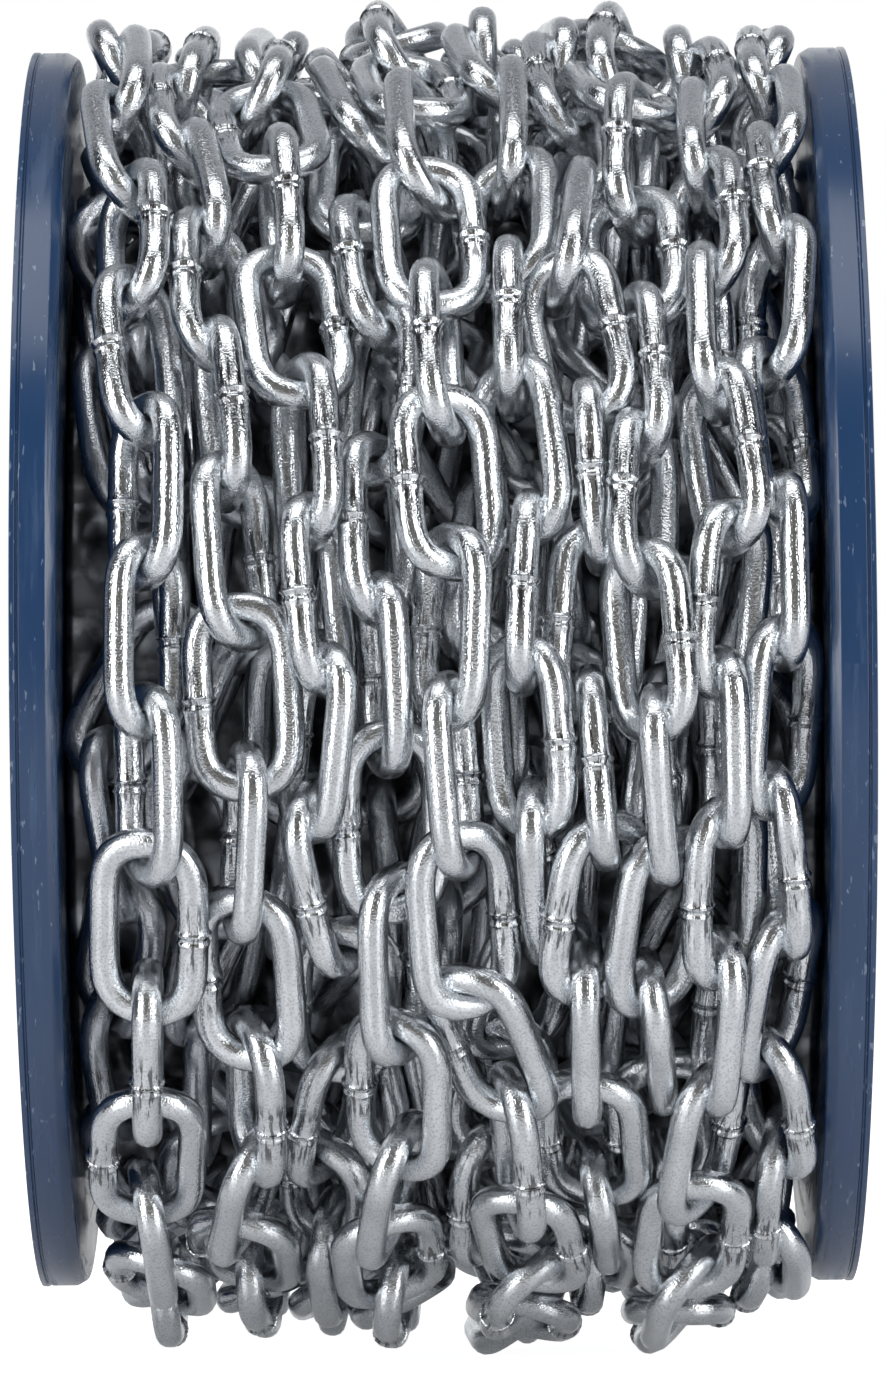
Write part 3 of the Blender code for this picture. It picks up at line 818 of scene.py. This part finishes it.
core = make_core()
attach(core, "root")
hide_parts("chain_core")
print("core made,", len(core.data.polygons), "faces")

# %% [markdown]
# ## The flanges
# Each flange is a moulded disc: a rim, a thinner web with ribs on its outer side, and a boss with
# the spindle's hole. It is turned from a profile. The profile's corners are rounded with short
# arcs, because a moulded edge always has a small radius, and that is what catches the light.

# %% Turn the flanges
FLANGE_RADIUS = 0.085
REEL_WIDTH = 0.111
RIM_DEPTH = 0.0055
RIM_CHAMFER = 0.0014
LIP_WIDTH = 0.0007
LIP_RISE = 0.0001
GROOVE_WIDTH = 0.0005
GROOVE_DEPTH = 0.0003
WEB_THICKNESS = 0.0026
BOSS_RADIUS = 0.024
BORE_RADIUS = 0.015
SPIGOT_RADIUS = 0.0445
SPIGOT_LENGTH = 0.008
SPIGOT_WALL = 0.0025
FLANGE_STEPS = 192
RIB_COUNT = 6
RIB_THICKNESS = 0.0025
RIB_HEIGHT = 0.0022
RIB_SINK = 0.0004
RIB_BITE = 0.0008
RIB_TAPER = 0.8
RIB_CORNERS = 8
SHARP_ANGLE = radians(50)


def rounded(corners, steps=4):
    """A closed outline with each corner (x, r, rounding) replaced by an arc of that radius: a
    quadratic curve between the two points that lie one rounding before and after the corner."""
    corners = np.array(corners, float)
    place, size = corners[:, :2], corners[:, 2:]
    before = unit(np.roll(place, 1, axis=0) - place)
    after = unit(np.roll(place, -1, axis=0) - place)
    start, end = place + before * size, place + after * size
    t = np.linspace(0, 1, steps + 1)[None, :, None]
    arcs = start[:, None] * (1 - t) ** 2 + place[:, None] * 2 * t * (1 - t) + end[:, None] * t**2
    return arcs.reshape(-1, 2)


def flange_profile():
    """The outline of a flange cut through the axis, from the bore out over the boss, the web, the
    rim, the lip and its groove, and back down the inner face and round the spigot. Each row is the
    place across, the distance from the axis and the corner's rounding."""
    face = REEL_WIDTH / 2
    inner = INNER_FACE
    web = inner + WEB_THICKNESS
    rim_inside = FLANGE_RADIUS - RIM_DEPTH
    lip = face - LIP_WIDTH
    end = inner - SPIGOT_LENGTH
    return rounded(
        [
            (face, BORE_RADIUS, 0.0004),
            (face, BOSS_RADIUS, 0.0005),
            (web, BOSS_RADIUS, 0.0006),
            (web, rim_inside, 0.0006),
            (face, rim_inside, 0.0004),
            (face, FLANGE_RADIUS + LIP_RISE, 0.0001),
            (lip, FLANGE_RADIUS + LIP_RISE, 0.0001),
            (lip - GROOVE_WIDTH * 0.3, FLANGE_RADIUS - GROOVE_DEPTH, 0.00005),
            (lip - GROOVE_WIDTH * 0.7, FLANGE_RADIUS - GROOVE_DEPTH, 0.00005),
            (lip - GROOVE_WIDTH, FLANGE_RADIUS, 0.0001),
            (inner + RIM_CHAMFER, FLANGE_RADIUS, 0.0003),
            (inner, FLANGE_RADIUS - RIM_CHAMFER * 0.6, 0.0003),
            (inner, SPIGOT_RADIUS, 0.0003),
            (end, SPIGOT_RADIUS, 0.0004),
            (end, SPIGOT_RADIUS - SPIGOT_WALL, 0.0004),
            (inner, SPIGOT_RADIUS - SPIGOT_WALL, 0.0003),
            (inner, BORE_RADIUS, 0.0004),
        ]
    )


def turned_points(profile, side):
    """Each profile point (x, r) goes round the axis: (x * side, -r cos, axis + r sin)."""
    angle = tau * np.arange(FLANGE_STEPS) / FLANGE_STEPS
    x = np.tile(profile[:, 0] * side, (FLANGE_STEPS, 1))
    y = -profile[:, 1] * np.cos(angle)[:, None]
    z = AXIS_HEIGHT + profile[:, 1] * np.sin(angle)[:, None]
    return np.stack([x, y, z], axis=-1)


def rib_points(side):
    """Radial bars, each a box of eight corners. A corner x across and w aside, at a reach from the
    axis, goes to (x * side, reach cos - w sin, axis + reach sin + w cos) of its bar's turn. A bar
    sinks a little into the web, and its ends into the boss and the rim."""
    low, high = INNER_FACE + WEB_THICKNESS - RIB_SINK, INNER_FACE + WEB_THICKNESS + RIB_HEIGHT
    near, far = BOSS_RADIUS - RIB_BITE, FLANGE_RADIUS - RIM_DEPTH + RIB_BITE
    half = RIB_THICKNESS / 2
    section = np.array([(low, -half), (high, -half * RIB_TAPER), (high, half * RIB_TAPER), (low, half)])
    turn = (tau * (np.arange(RIB_COUNT) + 0.5) / RIB_COUNT)[:, None, None]
    reach = np.array([near, far])[None, :, None]
    y = reach * np.cos(turn) - section[:, 1] * np.sin(turn)
    z = AXIS_HEIGHT + reach * np.sin(turn) + section[:, 1] * np.cos(turn)
    x = np.broadcast_to(section[:, 0] * side, y.shape)
    return np.stack([x, y, z], axis=-1).reshape(-1, 3)


RIB_QUADS = np.array([(0, 1, 2, 3), (7, 6, 5, 4), (0, 4, 5, 1), (1, 5, 6, 2), (2, 6, 7, 3), (3, 7, 4, 0)])


def make_flange(name, side):
    """The profile turned about the axis, and the ribs. The left flange is the right one mirrored,
    so its faces are turned round to point outwards again."""
    profile = flange_profile()
    ring = turned_points(profile, side)
    quads = grid_faces(FLANGE_STEPS, len(profile))
    ribs = rib_points(side)
    rib_quads = (RIB_QUADS[None] + RIB_CORNERS * np.arange(RIB_COUNT)[:, None, None]).reshape(-1, 4)
    if side < 0:
        quads = quads[:, ::-1]
        rib_quads = rib_quads[:, ::-1]
    points = np.concatenate([ring.reshape(-1, 3), ribs])
    after_ring = ring.shape[0] * ring.shape[1]
    thing = mesh_object(name, points, np.concatenate([quads, rib_quads + after_ring]))
    thing.data.set_sharp_from_angle(angle=SHARP_ANGLE)
    return thing


flanges = []
for side, node in ((-1, "left_flange"), (1, "right_flange")):
    piece = make_flange(node.replace("flange", "moulded_flange"), side)
    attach(piece, "root")
    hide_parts(node)
    flanges.append(piece)
print("flanges turned,", len(flanges[0].data.polygons), "faces each")

# %% [markdown]
# ## Zinc plate
# Bright zinc is a metal with a clear blue-white shine. Drawn wire carries fine lines along it,
# and each bent end is stretched, so the plate there is rougher and sparkles. The finish is a
# Principled shader with full metal: the colour is the share of light it reflects, and two noises,
# each in a Bump node of its own, break up the reflections. One follows the wire by the UV map, and
# the other is in the metal itself. Most of the helpers below add one node and give its output.


# %% Node helpers
def new_material(name):
    """A material, its node tree and its Principled shader."""
    material = bpy.data.materials.new(name)
    material.use_nodes = True
    tree = material.node_tree
    return material, tree, tree.nodes["Principled BSDF"]


def add(tree, kind, **values):
    """A node with its own settings, and its inputs by name."""
    node = tree.nodes.new(kind)
    for key, value in values.items():
        if key in node.inputs:
            node.inputs[key].default_value = value
        else:
            setattr(node, key, value)
    return node


def noise(tree, vector, scale, detail=2.0, roughness=0.5):
    """A cloudy number between 0 and 1. The scale is about how many clouds there are to one unit of
    the place."""
    node = add(tree, "ShaderNodeTexNoise", Scale=scale, Detail=detail, Roughness=roughness)
    tree.links.new(vector, node.inputs["Vector"])
    return node.outputs["Fac"]


def stretched(tree, vector, scale):
    """The place times a scale for each direction. A small one draws the pattern out."""
    node = add(tree, "ShaderNodeMapping", Scale=scale)
    tree.links.new(vector, node.inputs["Vector"])
    return node.outputs["Vector"]


def math_node(tree, operation, first, second=0.5, clamp=False):
    """The result of an operation on one or two inputs, each a number or another node's output."""
    node = add(tree, "ShaderNodeMath", operation=operation, use_clamp=clamp)
    for socket, value in zip(node.inputs, (first, second)):
        if isinstance(value, (int, float)):
            socket.default_value = value
        else:
            tree.links.new(value, socket)
    return node.outputs[0]


def ranged(tree, value, low, high, to_low, to_high):
    """The value moved from between low and high to between to_low and to_high, and held there."""
    node = add(tree, "ShaderNodeMapRange")
    tree.links.new(value, node.inputs["Value"])
    for key, number in (("From Min", low), ("From Max", high), ("To Min", to_low), ("To Max", to_high)):
        node.inputs[key].default_value = number
    return node.outputs["Result"]


def mixed(tree, factor, first, second):
    """A colour between first and second."""
    node = add(tree, "ShaderNodeMix", data_type="RGBA")
    tree.links.new(factor, node.inputs[0])
    for socket, value in ((node.inputs[6], first), (node.inputs[7], second)):
        if isinstance(value, tuple):
            socket.default_value = (*value, 1.0)
        else:
            tree.links.new(value, socket)
    return node.outputs[2]


def bumped(tree, height, distance, normal=None):
    """A normal tilted by a height of up to the distance, in metres, on top of another normal."""
    node = add(tree, "ShaderNodeBump", Distance=distance)
    tree.links.new(height, node.inputs["Height"])
    if normal is not None:
        tree.links.new(normal, node.inputs["Normal"])
    return node.outputs["Normal"]


def new_group(name, inputs, outputs):
    """A shader node group, its input and output nodes. Inputs are (name, kind, value)."""
    group = bpy.data.node_groups.new(name, "ShaderNodeTree")
    for label, kind, value in inputs:
        group.interface.new_socket(label, in_out="INPUT", socket_type=kind).default_value = value
    for label, kind in outputs:
        group.interface.new_socket(label, in_out="OUTPUT", socket_type=kind)
    return group, group.nodes.new("NodeGroupInput"), group.nodes.new("NodeGroupOutput")


print("node helpers ready")

# %% [markdown]
# The outer layer and the layer below carry the same plate, one bright and one painted darker as
# shade. So the plate is a node group with named inputs, built once and placed in both materials.
# It gives the colour, the roughness, and two heights: the grain of the plate, and the lines that
# the wire's drawing left along it. Beside each weld the machine's clamps left dark scratches.

# %% The plate's node group
ZINC_FLECK = (0.34, 0.35, 0.37)
CLAMP_MARK = (0.10, 0.10, 0.11)
CLOUD_SCALE = 160
CLOUD_RANGE = (0.3, 0.7)
CLOUD_SHARE = 0.6
CLOUD_ROUGHNESS = 0.07
BEND_ROUGHNESS = 0.06
FLECK_SCALE = 3400
FLECK_RANGE = (0.5, 0.64)
FLECK_SHARE = 0.44
MARK_STRETCH = (0.22, 1.5, 1)
MARK_RANGE = (0.52, 0.58)
MARKED_WELD = (0.25, 0.45)
MARK_SHARE = 0.85
GRAIN_SCALE = 3600
LINE_STRETCH = (0.12, 2.2, 1)
LINE_SCALE = 1.6


def make_plating():
    """Colour = light to dull by the clouds, then flecks, then clamp marks near the weld. Roughness
    = the given one + a share of the clouds + a share of the bend."""
    colour, number = "NodeSocketColor", "NodeSocketFloat"
    group, given, result = new_group(
        "plating",
        (
            ("Light", colour, (0.8, 0.8, 0.8, 1)),
            ("Dull", colour, (0.6, 0.6, 0.6, 1)),
            ("Roughness", number, 0.2),
        ),
        (("Colour", colour), ("Roughness", number), ("Grain", number), ("Lines", number)),
    )
    place = add(group, "ShaderNodeTexCoord").outputs["Object"]
    wire = add(group, "ShaderNodeUVMap", uv_map="wire").outputs["UV"]
    bend = add(group, "ShaderNodeAttribute", attribute_name="bend").outputs["Fac"]
    weld = add(group, "ShaderNodeAttribute", attribute_name="weld").outputs["Fac"]
    cloud = ranged(group, noise(group, place, CLOUD_SCALE, 1), *CLOUD_RANGE, 0, 1)
    dulled = math_node(group, "MULTIPLY", cloud, CLOUD_SHARE)
    plate = mixed(group, dulled, given.outputs["Light"], given.outputs["Dull"])
    flecks = ranged(group, noise(group, place, FLECK_SCALE, 1), *FLECK_RANGE, 0, FLECK_SHARE)
    plate = mixed(group, flecks, plate, ZINC_FLECK)
    marks = noise(group, stretched(group, wire, MARK_STRETCH), 1.0, 3, 0.6)
    marks = ranged(group, marks, *MARK_RANGE, 0, 1)
    clamped = math_node(group, "MULTIPLY", marks, ranged(group, weld, *MARKED_WELD, 0, MARK_SHARE))
    group.links.new(mixed(group, clamped, plate, CLAMP_MARK), result.inputs["Colour"])
    clouded = math_node(group, "MULTIPLY", cloud, CLOUD_ROUGHNESS)
    rough = math_node(group, "ADD", given.outputs["Roughness"], clouded)
    rough = math_node(group, "ADD", rough, math_node(group, "MULTIPLY", bend, BEND_ROUGHNESS))
    group.links.new(rough, result.inputs["Roughness"])
    group.links.new(noise(group, place, GRAIN_SCALE, 1), result.inputs["Grain"])
    lines = noise(group, stretched(group, wire, LINE_STRETCH), LINE_SCALE, 1)
    group.links.new(lines, result.inputs["Lines"])
    return group


PLATING = make_plating()
print("plating group with", len(PLATING.nodes), "nodes")

# %% Zinc
ZINC_LIGHT = (0.82, 0.85, 0.88)
# The layer below's colours are the plate's, painted darker: painted shade for the shadow between the
# turns.
ZINC_DULL = (0.62, 0.65, 0.68)
SHADED_LIGHT = (0.64, 0.67, 0.71)
SHADED_DULL = (0.46, 0.48, 0.52)
ZINC_ROUGHNESS = 0.12
SHADED_ROUGHNESS = 0.2
GRAIN_DEPTH = 0.00006
LINE_DEPTH = 0.00004


def zinc_material(name, light, dull, roughness):
    """Full metal with the plate's colour and roughness, and its grain and lines as two bumps."""
    material, tree, shader = new_material(name)
    plate = add(tree, "ShaderNodeGroup", node_tree=PLATING)
    plate.inputs["Light"].default_value = (*light, 1)
    plate.inputs["Dull"].default_value = (*dull, 1)
    plate.inputs["Roughness"].default_value = roughness
    shader.inputs["Metallic"].default_value = 1.0
    tree.links.new(plate.outputs["Colour"], shader.inputs["Base Color"])
    tree.links.new(plate.outputs["Roughness"], shader.inputs["Roughness"])
    fine = bumped(tree, plate.outputs["Grain"], GRAIN_DEPTH)
    tree.links.new(bumped(tree, plate.outputs["Lines"], LINE_DEPTH, fine), shader.inputs["Normal"])
    return material


zinc = zinc_material("bright_zinc", ZINC_LIGHT, ZINC_DULL, ZINC_ROUGHNESS)
# The layer below wears the plate in darker colours, which paint its shade.
painted_shade_zinc = zinc_material("zinc_in_shadow", SHADED_LIGHT, SHADED_DULL, SHADED_ROUGHNESS)
for piece in chain_pieces:
    piece.data.materials.append(zinc)
for piece in under_pieces:
    piece.data.materials.append(painted_shade_zinc)
print("zinc on", len(chain_pieces) + len(under_pieces), "pieces")

# %% [markdown]
# ## Blue plastic and the dark core
# The reel is moulded in navy plastic with a satin gloss. A turned moulding shows fine rings from
# its mould, and handling leaves paler rubs and nicks. All three are noises drawn out around the
# axis, so they are read in polar form: place across, distance from the axis, and a little of the
# turn about it. The core under the chain is metal painted dark as shade, with painted glints of links.

# %% Plastic
BLUE = (0.011, 0.047, 0.132)
BLUE_RUBBED = (0.050, 0.100, 0.205)
BLUE_NICKED = (0.20, 0.27, 0.38)
RUB_TURN = 0.006
RUB_SCALE = 420
RUB_RANGE = (0.52, 0.72)
RUB_SHARE = 0.6
RUB_ROUGHNESS = 0.25
NICK_TURN = 0.022
NICK_SCALE = 1700
NICK_RANGE = (0.71, 0.74)
NICK_SHARE = 0.7
LIP_WEAR_FROM = REEL_WIDTH / 2 - 0.0022
LIP_WEAR_TO = REEL_WIDTH / 2 - 0.0003
LIP_WEAR = 0.075
RING_SCALE = 1500
RING_DEPTH = 0.00004
PLASTIC_ROUGHNESS = (0.18, 0.27)
PLASTIC_CLOUD_SCALE = 60
PLASTIC_SHINE = 0.8


def polar_place(tree, x, radius, turn, reach):
    """Place across, distance from the axis, and the turn about it times a reach: a short reach
    draws a pattern out along the rim."""
    polar = add(tree, "ShaderNodeCombineXYZ")
    tree.links.new(x, polar.inputs[0])
    tree.links.new(radius, polar.inputs[1])
    tree.links.new(math_node(tree, "MULTIPLY", turn, reach), polar.inputs[2])
    return polar.outputs[0]


def plastic_material():
    """Navy, paler where it is rubbed and nicked. A nick shows where its noise + the wear near the
    lip is high. The rubs are rougher, and the mould's rings are a bump."""
    material, tree, shader = new_material("navy_plastic")
    place = add(tree, "ShaderNodeTexCoord").outputs["Object"]
    centred = add(tree, "ShaderNodeVectorMath", operation="SUBTRACT")
    tree.links.new(place, centred.inputs[0])
    centred.inputs[1].default_value = (0, 0, AXIS_HEIGHT)
    split = add(tree, "ShaderNodeSeparateXYZ")
    tree.links.new(centred.outputs[0], split.inputs[0])
    x, y, z = (split.outputs[i] for i in range(3))
    squares = [math_node(tree, "MULTIPLY", part, part) for part in (y, z)]
    radius = math_node(tree, "SQRT", math_node(tree, "ADD", *squares))
    turn = math_node(tree, "ARCTAN2", z, y)
    along_rim = polar_place(tree, x, radius, turn, RUB_TURN)
    rings = noise(tree, along_rim, RING_SCALE, 3)
    rubs = noise(tree, along_rim, RUB_SCALE, 4, 0.7)
    cloud = noise(tree, place, PLASTIC_CLOUD_SCALE, 3)
    rubbed = ranged(tree, rubs, *RUB_RANGE, 0.0, RUB_SHARE)
    aside = math_node(tree, "ABSOLUTE", x)
    at_lip = ranged(tree, aside, LIP_WEAR_FROM, LIP_WEAR_TO, 0, LIP_WEAR)
    chips = noise(tree, polar_place(tree, x, radius, turn, NICK_TURN), NICK_SCALE, 2)
    nicks = ranged(tree, math_node(tree, "ADD", chips, at_lip), *NICK_RANGE, 0.0, NICK_SHARE)
    worn = mixed(tree, rubbed, BLUE, BLUE_RUBBED)
    tree.links.new(mixed(tree, nicks, worn, BLUE_NICKED), shader.inputs["Base Color"])
    shader.inputs["Specular IOR Level"].default_value = PLASTIC_SHINE
    clouded = ranged(tree, cloud, *CLOUD_RANGE, *PLASTIC_ROUGHNESS)
    rough = math_node(tree, "ADD", clouded, math_node(tree, "MULTIPLY", rubbed, RUB_ROUGHNESS))
    tree.links.new(rough, shader.inputs["Roughness"])
    tree.links.new(bumped(tree, rings, RING_DEPTH), shader.inputs["Normal"])
    return material


plastic = plastic_material()
for piece in flanges:
    piece.data.materials.append(plastic)
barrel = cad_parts["barrel"]
barrel.data.materials.clear()
barrel.data.materials.append(plastic)
print("plastic on the reel")

# %% Core finish
# Painted shade and painted glints: the core's colour stands for chain deep in shadow, with paler glints
# of links.
CORE_PAINTED_SHADE = (0.12, 0.125, 0.135)
CORE_PAINTED_GLINT = (0.42, 0.44, 0.47)
PAINTED_GLINT_SCALE = 220
PAINTED_GLINT_RANGE = (0.45, 0.7)
CORE_ROUGHNESS = 0.35


def core_material():
    """Metal painted dark as the shade under the layers of chain, with painted glints of links where a
    cloudy noise is high.
    """
    material, tree, shader = new_material("shadowed_chain")
    place = add(tree, "ShaderNodeTexCoord").outputs["Object"]
    glint = ranged(tree, noise(tree, place, PAINTED_GLINT_SCALE, 3), *PAINTED_GLINT_RANGE, 0, 1)
    tree.links.new(mixed(tree, glint, CORE_PAINTED_SHADE, CORE_PAINTED_GLINT), shader.inputs["Base Color"])
    shader.inputs["Metallic"].default_value = 1.0
    shader.inputs["Roughness"].default_value = CORE_ROUGHNESS
    return material


core.data.materials.append(core_material())
print("core finished")

# %% [markdown]
# ## Floor, backdrop and light
# The chain is a mirror, so its look is the look of what stands around it. Two tall soft boxes at
# the front left and front right draw the pair of white stripes down every upright bar, with the
# dim space between them as the grey core of the bar. A wide box overhead lights the top, and the
# pale floor fills the lower links with flat grey. To the camera everything behind the reel is
# plain white. The floor touches the lowest finished link.

# %% Stage
FLOOR_SIZE = 6.0
FLOOR_COLOUR = (0.80, 0.80, 0.81)
FLOOR_GLOW = 0.93
FLOOR_BOUNCE = 0.13
FLOOR_GLOSS = 1.0
FLOOR_ROUGHNESS = 0.22
ROOM_DARK = (0.030, 0.034, 0.040)
ROOM_FRONT = (0.19, 0.18, 0.165)
ROOM_BACK = (0.42, 0.43, 0.45)
ROOM_BACKDROP = (0.95, 0.96, 0.97)
BACK_RANGE = (0.05, 0.6)
BACKDROP_RANGE = (0.86, 0.96)
# Each soft box: its name, how far round and up it stands (degrees), its distance, width and
# height (m), and its power (W).
SOFT_BOXES = (
    ("left_box", -45, 12, 1.0, 0.45, 1.0, 5),
    ("right_box", 45, 12, 1.0, 0.45, 1.0, 5),
    ("top_box", 0, 75, 1.1, 1.2, 0.7, 5),
)


def make_floor(height):
    """A pale glossy board. The camera sees it matt and glowing white, with only a faint shadow.
    To the links it glows a little, as a board does under lamps that stand outside this scene."""
    half = FLOOR_SIZE / 2
    corners = np.array([(-half, -half), (half, -half), (half, half), (-half, half)])
    points = np.column_stack([corners, np.full(len(corners), height)])
    floor = mesh_object("floor", points, np.array([(0, 1, 2, 3)]))
    material, tree, shader = new_material("pale_floor")
    shader.inputs["Base Color"].default_value = (*FLOOR_COLOUR, 1)
    shader.inputs["Roughness"].default_value = FLOOR_ROUGHNESS
    shader.inputs["Emission Color"].default_value = (1, 1, 1, 1)
    seen = add(tree, "ShaderNodeLightPath").outputs["Is Camera Ray"]
    tree.links.new(ranged(tree, seen, 0, 1, FLOOR_BOUNCE, FLOOR_GLOW), shader.inputs["Emission Strength"])
    unseen = math_node(tree, "SUBTRACT", 1.0, seen)
    tree.links.new(math_node(tree, "MULTIPLY", unseen, FLOOR_GLOSS), shader.inputs["Specular IOR Level"])
    floor.data.materials.append(material)


def make_world():
    """White to the camera. To everything else it is dark at the sides, with a warm grey glow
    at the front, a paler one behind, and a white backdrop straight behind. The front's share is
    the direction's part towards the camera, squared, and the other two grow with its part away
    from the camera."""
    world = bpy.data.worlds.new("studio")
    world.use_nodes = True
    tree = world.node_tree
    output = tree.nodes["World Output"]
    dim = tree.nodes["Background"]
    split = add(tree, "ShaderNodeSeparateXYZ")
    tree.links.new(add(tree, "ShaderNodeTexCoord").outputs["Generated"], split.inputs[0])
    front = math_node(tree, "MULTIPLY", split.outputs[1], -1.0, True)
    glow = math_node(tree, "POWER", front, 2.0)
    behind = ranged(tree, split.outputs[1], *BACK_RANGE, 0, 1)
    far_behind = ranged(tree, split.outputs[1], *BACKDROP_RANGE, 0, 1)
    room = mixed(tree, behind, mixed(tree, glow, ROOM_DARK, ROOM_FRONT), ROOM_BACK)
    tree.links.new(mixed(tree, far_behind, room, ROOM_BACKDROP), dim.inputs["Color"])
    white = add(tree, "ShaderNodeBackground")
    white.inputs["Color"].default_value = (1, 1, 1, 1)
    ray = add(tree, "ShaderNodeLightPath")
    mix = add(tree, "ShaderNodeMixShader")
    tree.links.new(ray.outputs["Is Camera Ray"], mix.inputs[0])
    tree.links.new(dim.outputs[0], mix.inputs[1])
    tree.links.new(white.outputs[0], mix.inputs[2])
    tree.links.new(mix.outputs[0], output.inputs["Surface"])
    bpy.context.scene.world = world


def soft_box(name, azimuth, elevation, distance, width, height, power):
    """An area light that faces the reel from an angle right of the camera and above the level."""
    data = bpy.data.lights.new(name, "AREA")
    data.shape = "RECTANGLE"
    data.size = width
    data.size_y = height
    data.energy = power
    light = bpy.data.objects.new(name, data)
    bpy.context.scene.collection.objects.link(light)
    a, e = radians(azimuth), radians(elevation)
    way = Vector((sin(a) * cos(e), -cos(a) * cos(e), sin(e)))
    target = Vector((0, 0, AXIS_HEIGHT))
    facing = way.to_track_quat("Z", "Y").to_matrix().to_4x4()
    light.matrix_world = Matrix.Translation(target + way * distance) @ facing


def lowest_point(things):
    """The least height among the finished surfaces. The boxes of smoothed pieces can't tell it,
    because they go round the coarse cage, which is larger than the surface."""
    graph = bpy.context.evaluated_depsgraph_get()
    heights = []
    for thing in things:
        surface = thing.evaluated_get(graph).data
        places = np.empty(3 * len(surface.vertices), np.float32)
        surface.vertices.foreach_get("co", places)
        heights.append(float(places[2::3].min()))
    return min(heights)


FLOOR_HEIGHT = lowest_point(chain_pieces)
print("the lowest link is at", round(FLOOR_HEIGHT / MM, 2), "mm, and the floor goes there")
make_floor(FLOOR_HEIGHT)
make_world()
for box in SOFT_BOXES:
    soft_box(*box)
bpy.context.scene.view_settings.view_transform = "Standard"
print("stage set, with", len(SOFT_BOXES), "soft boxes")
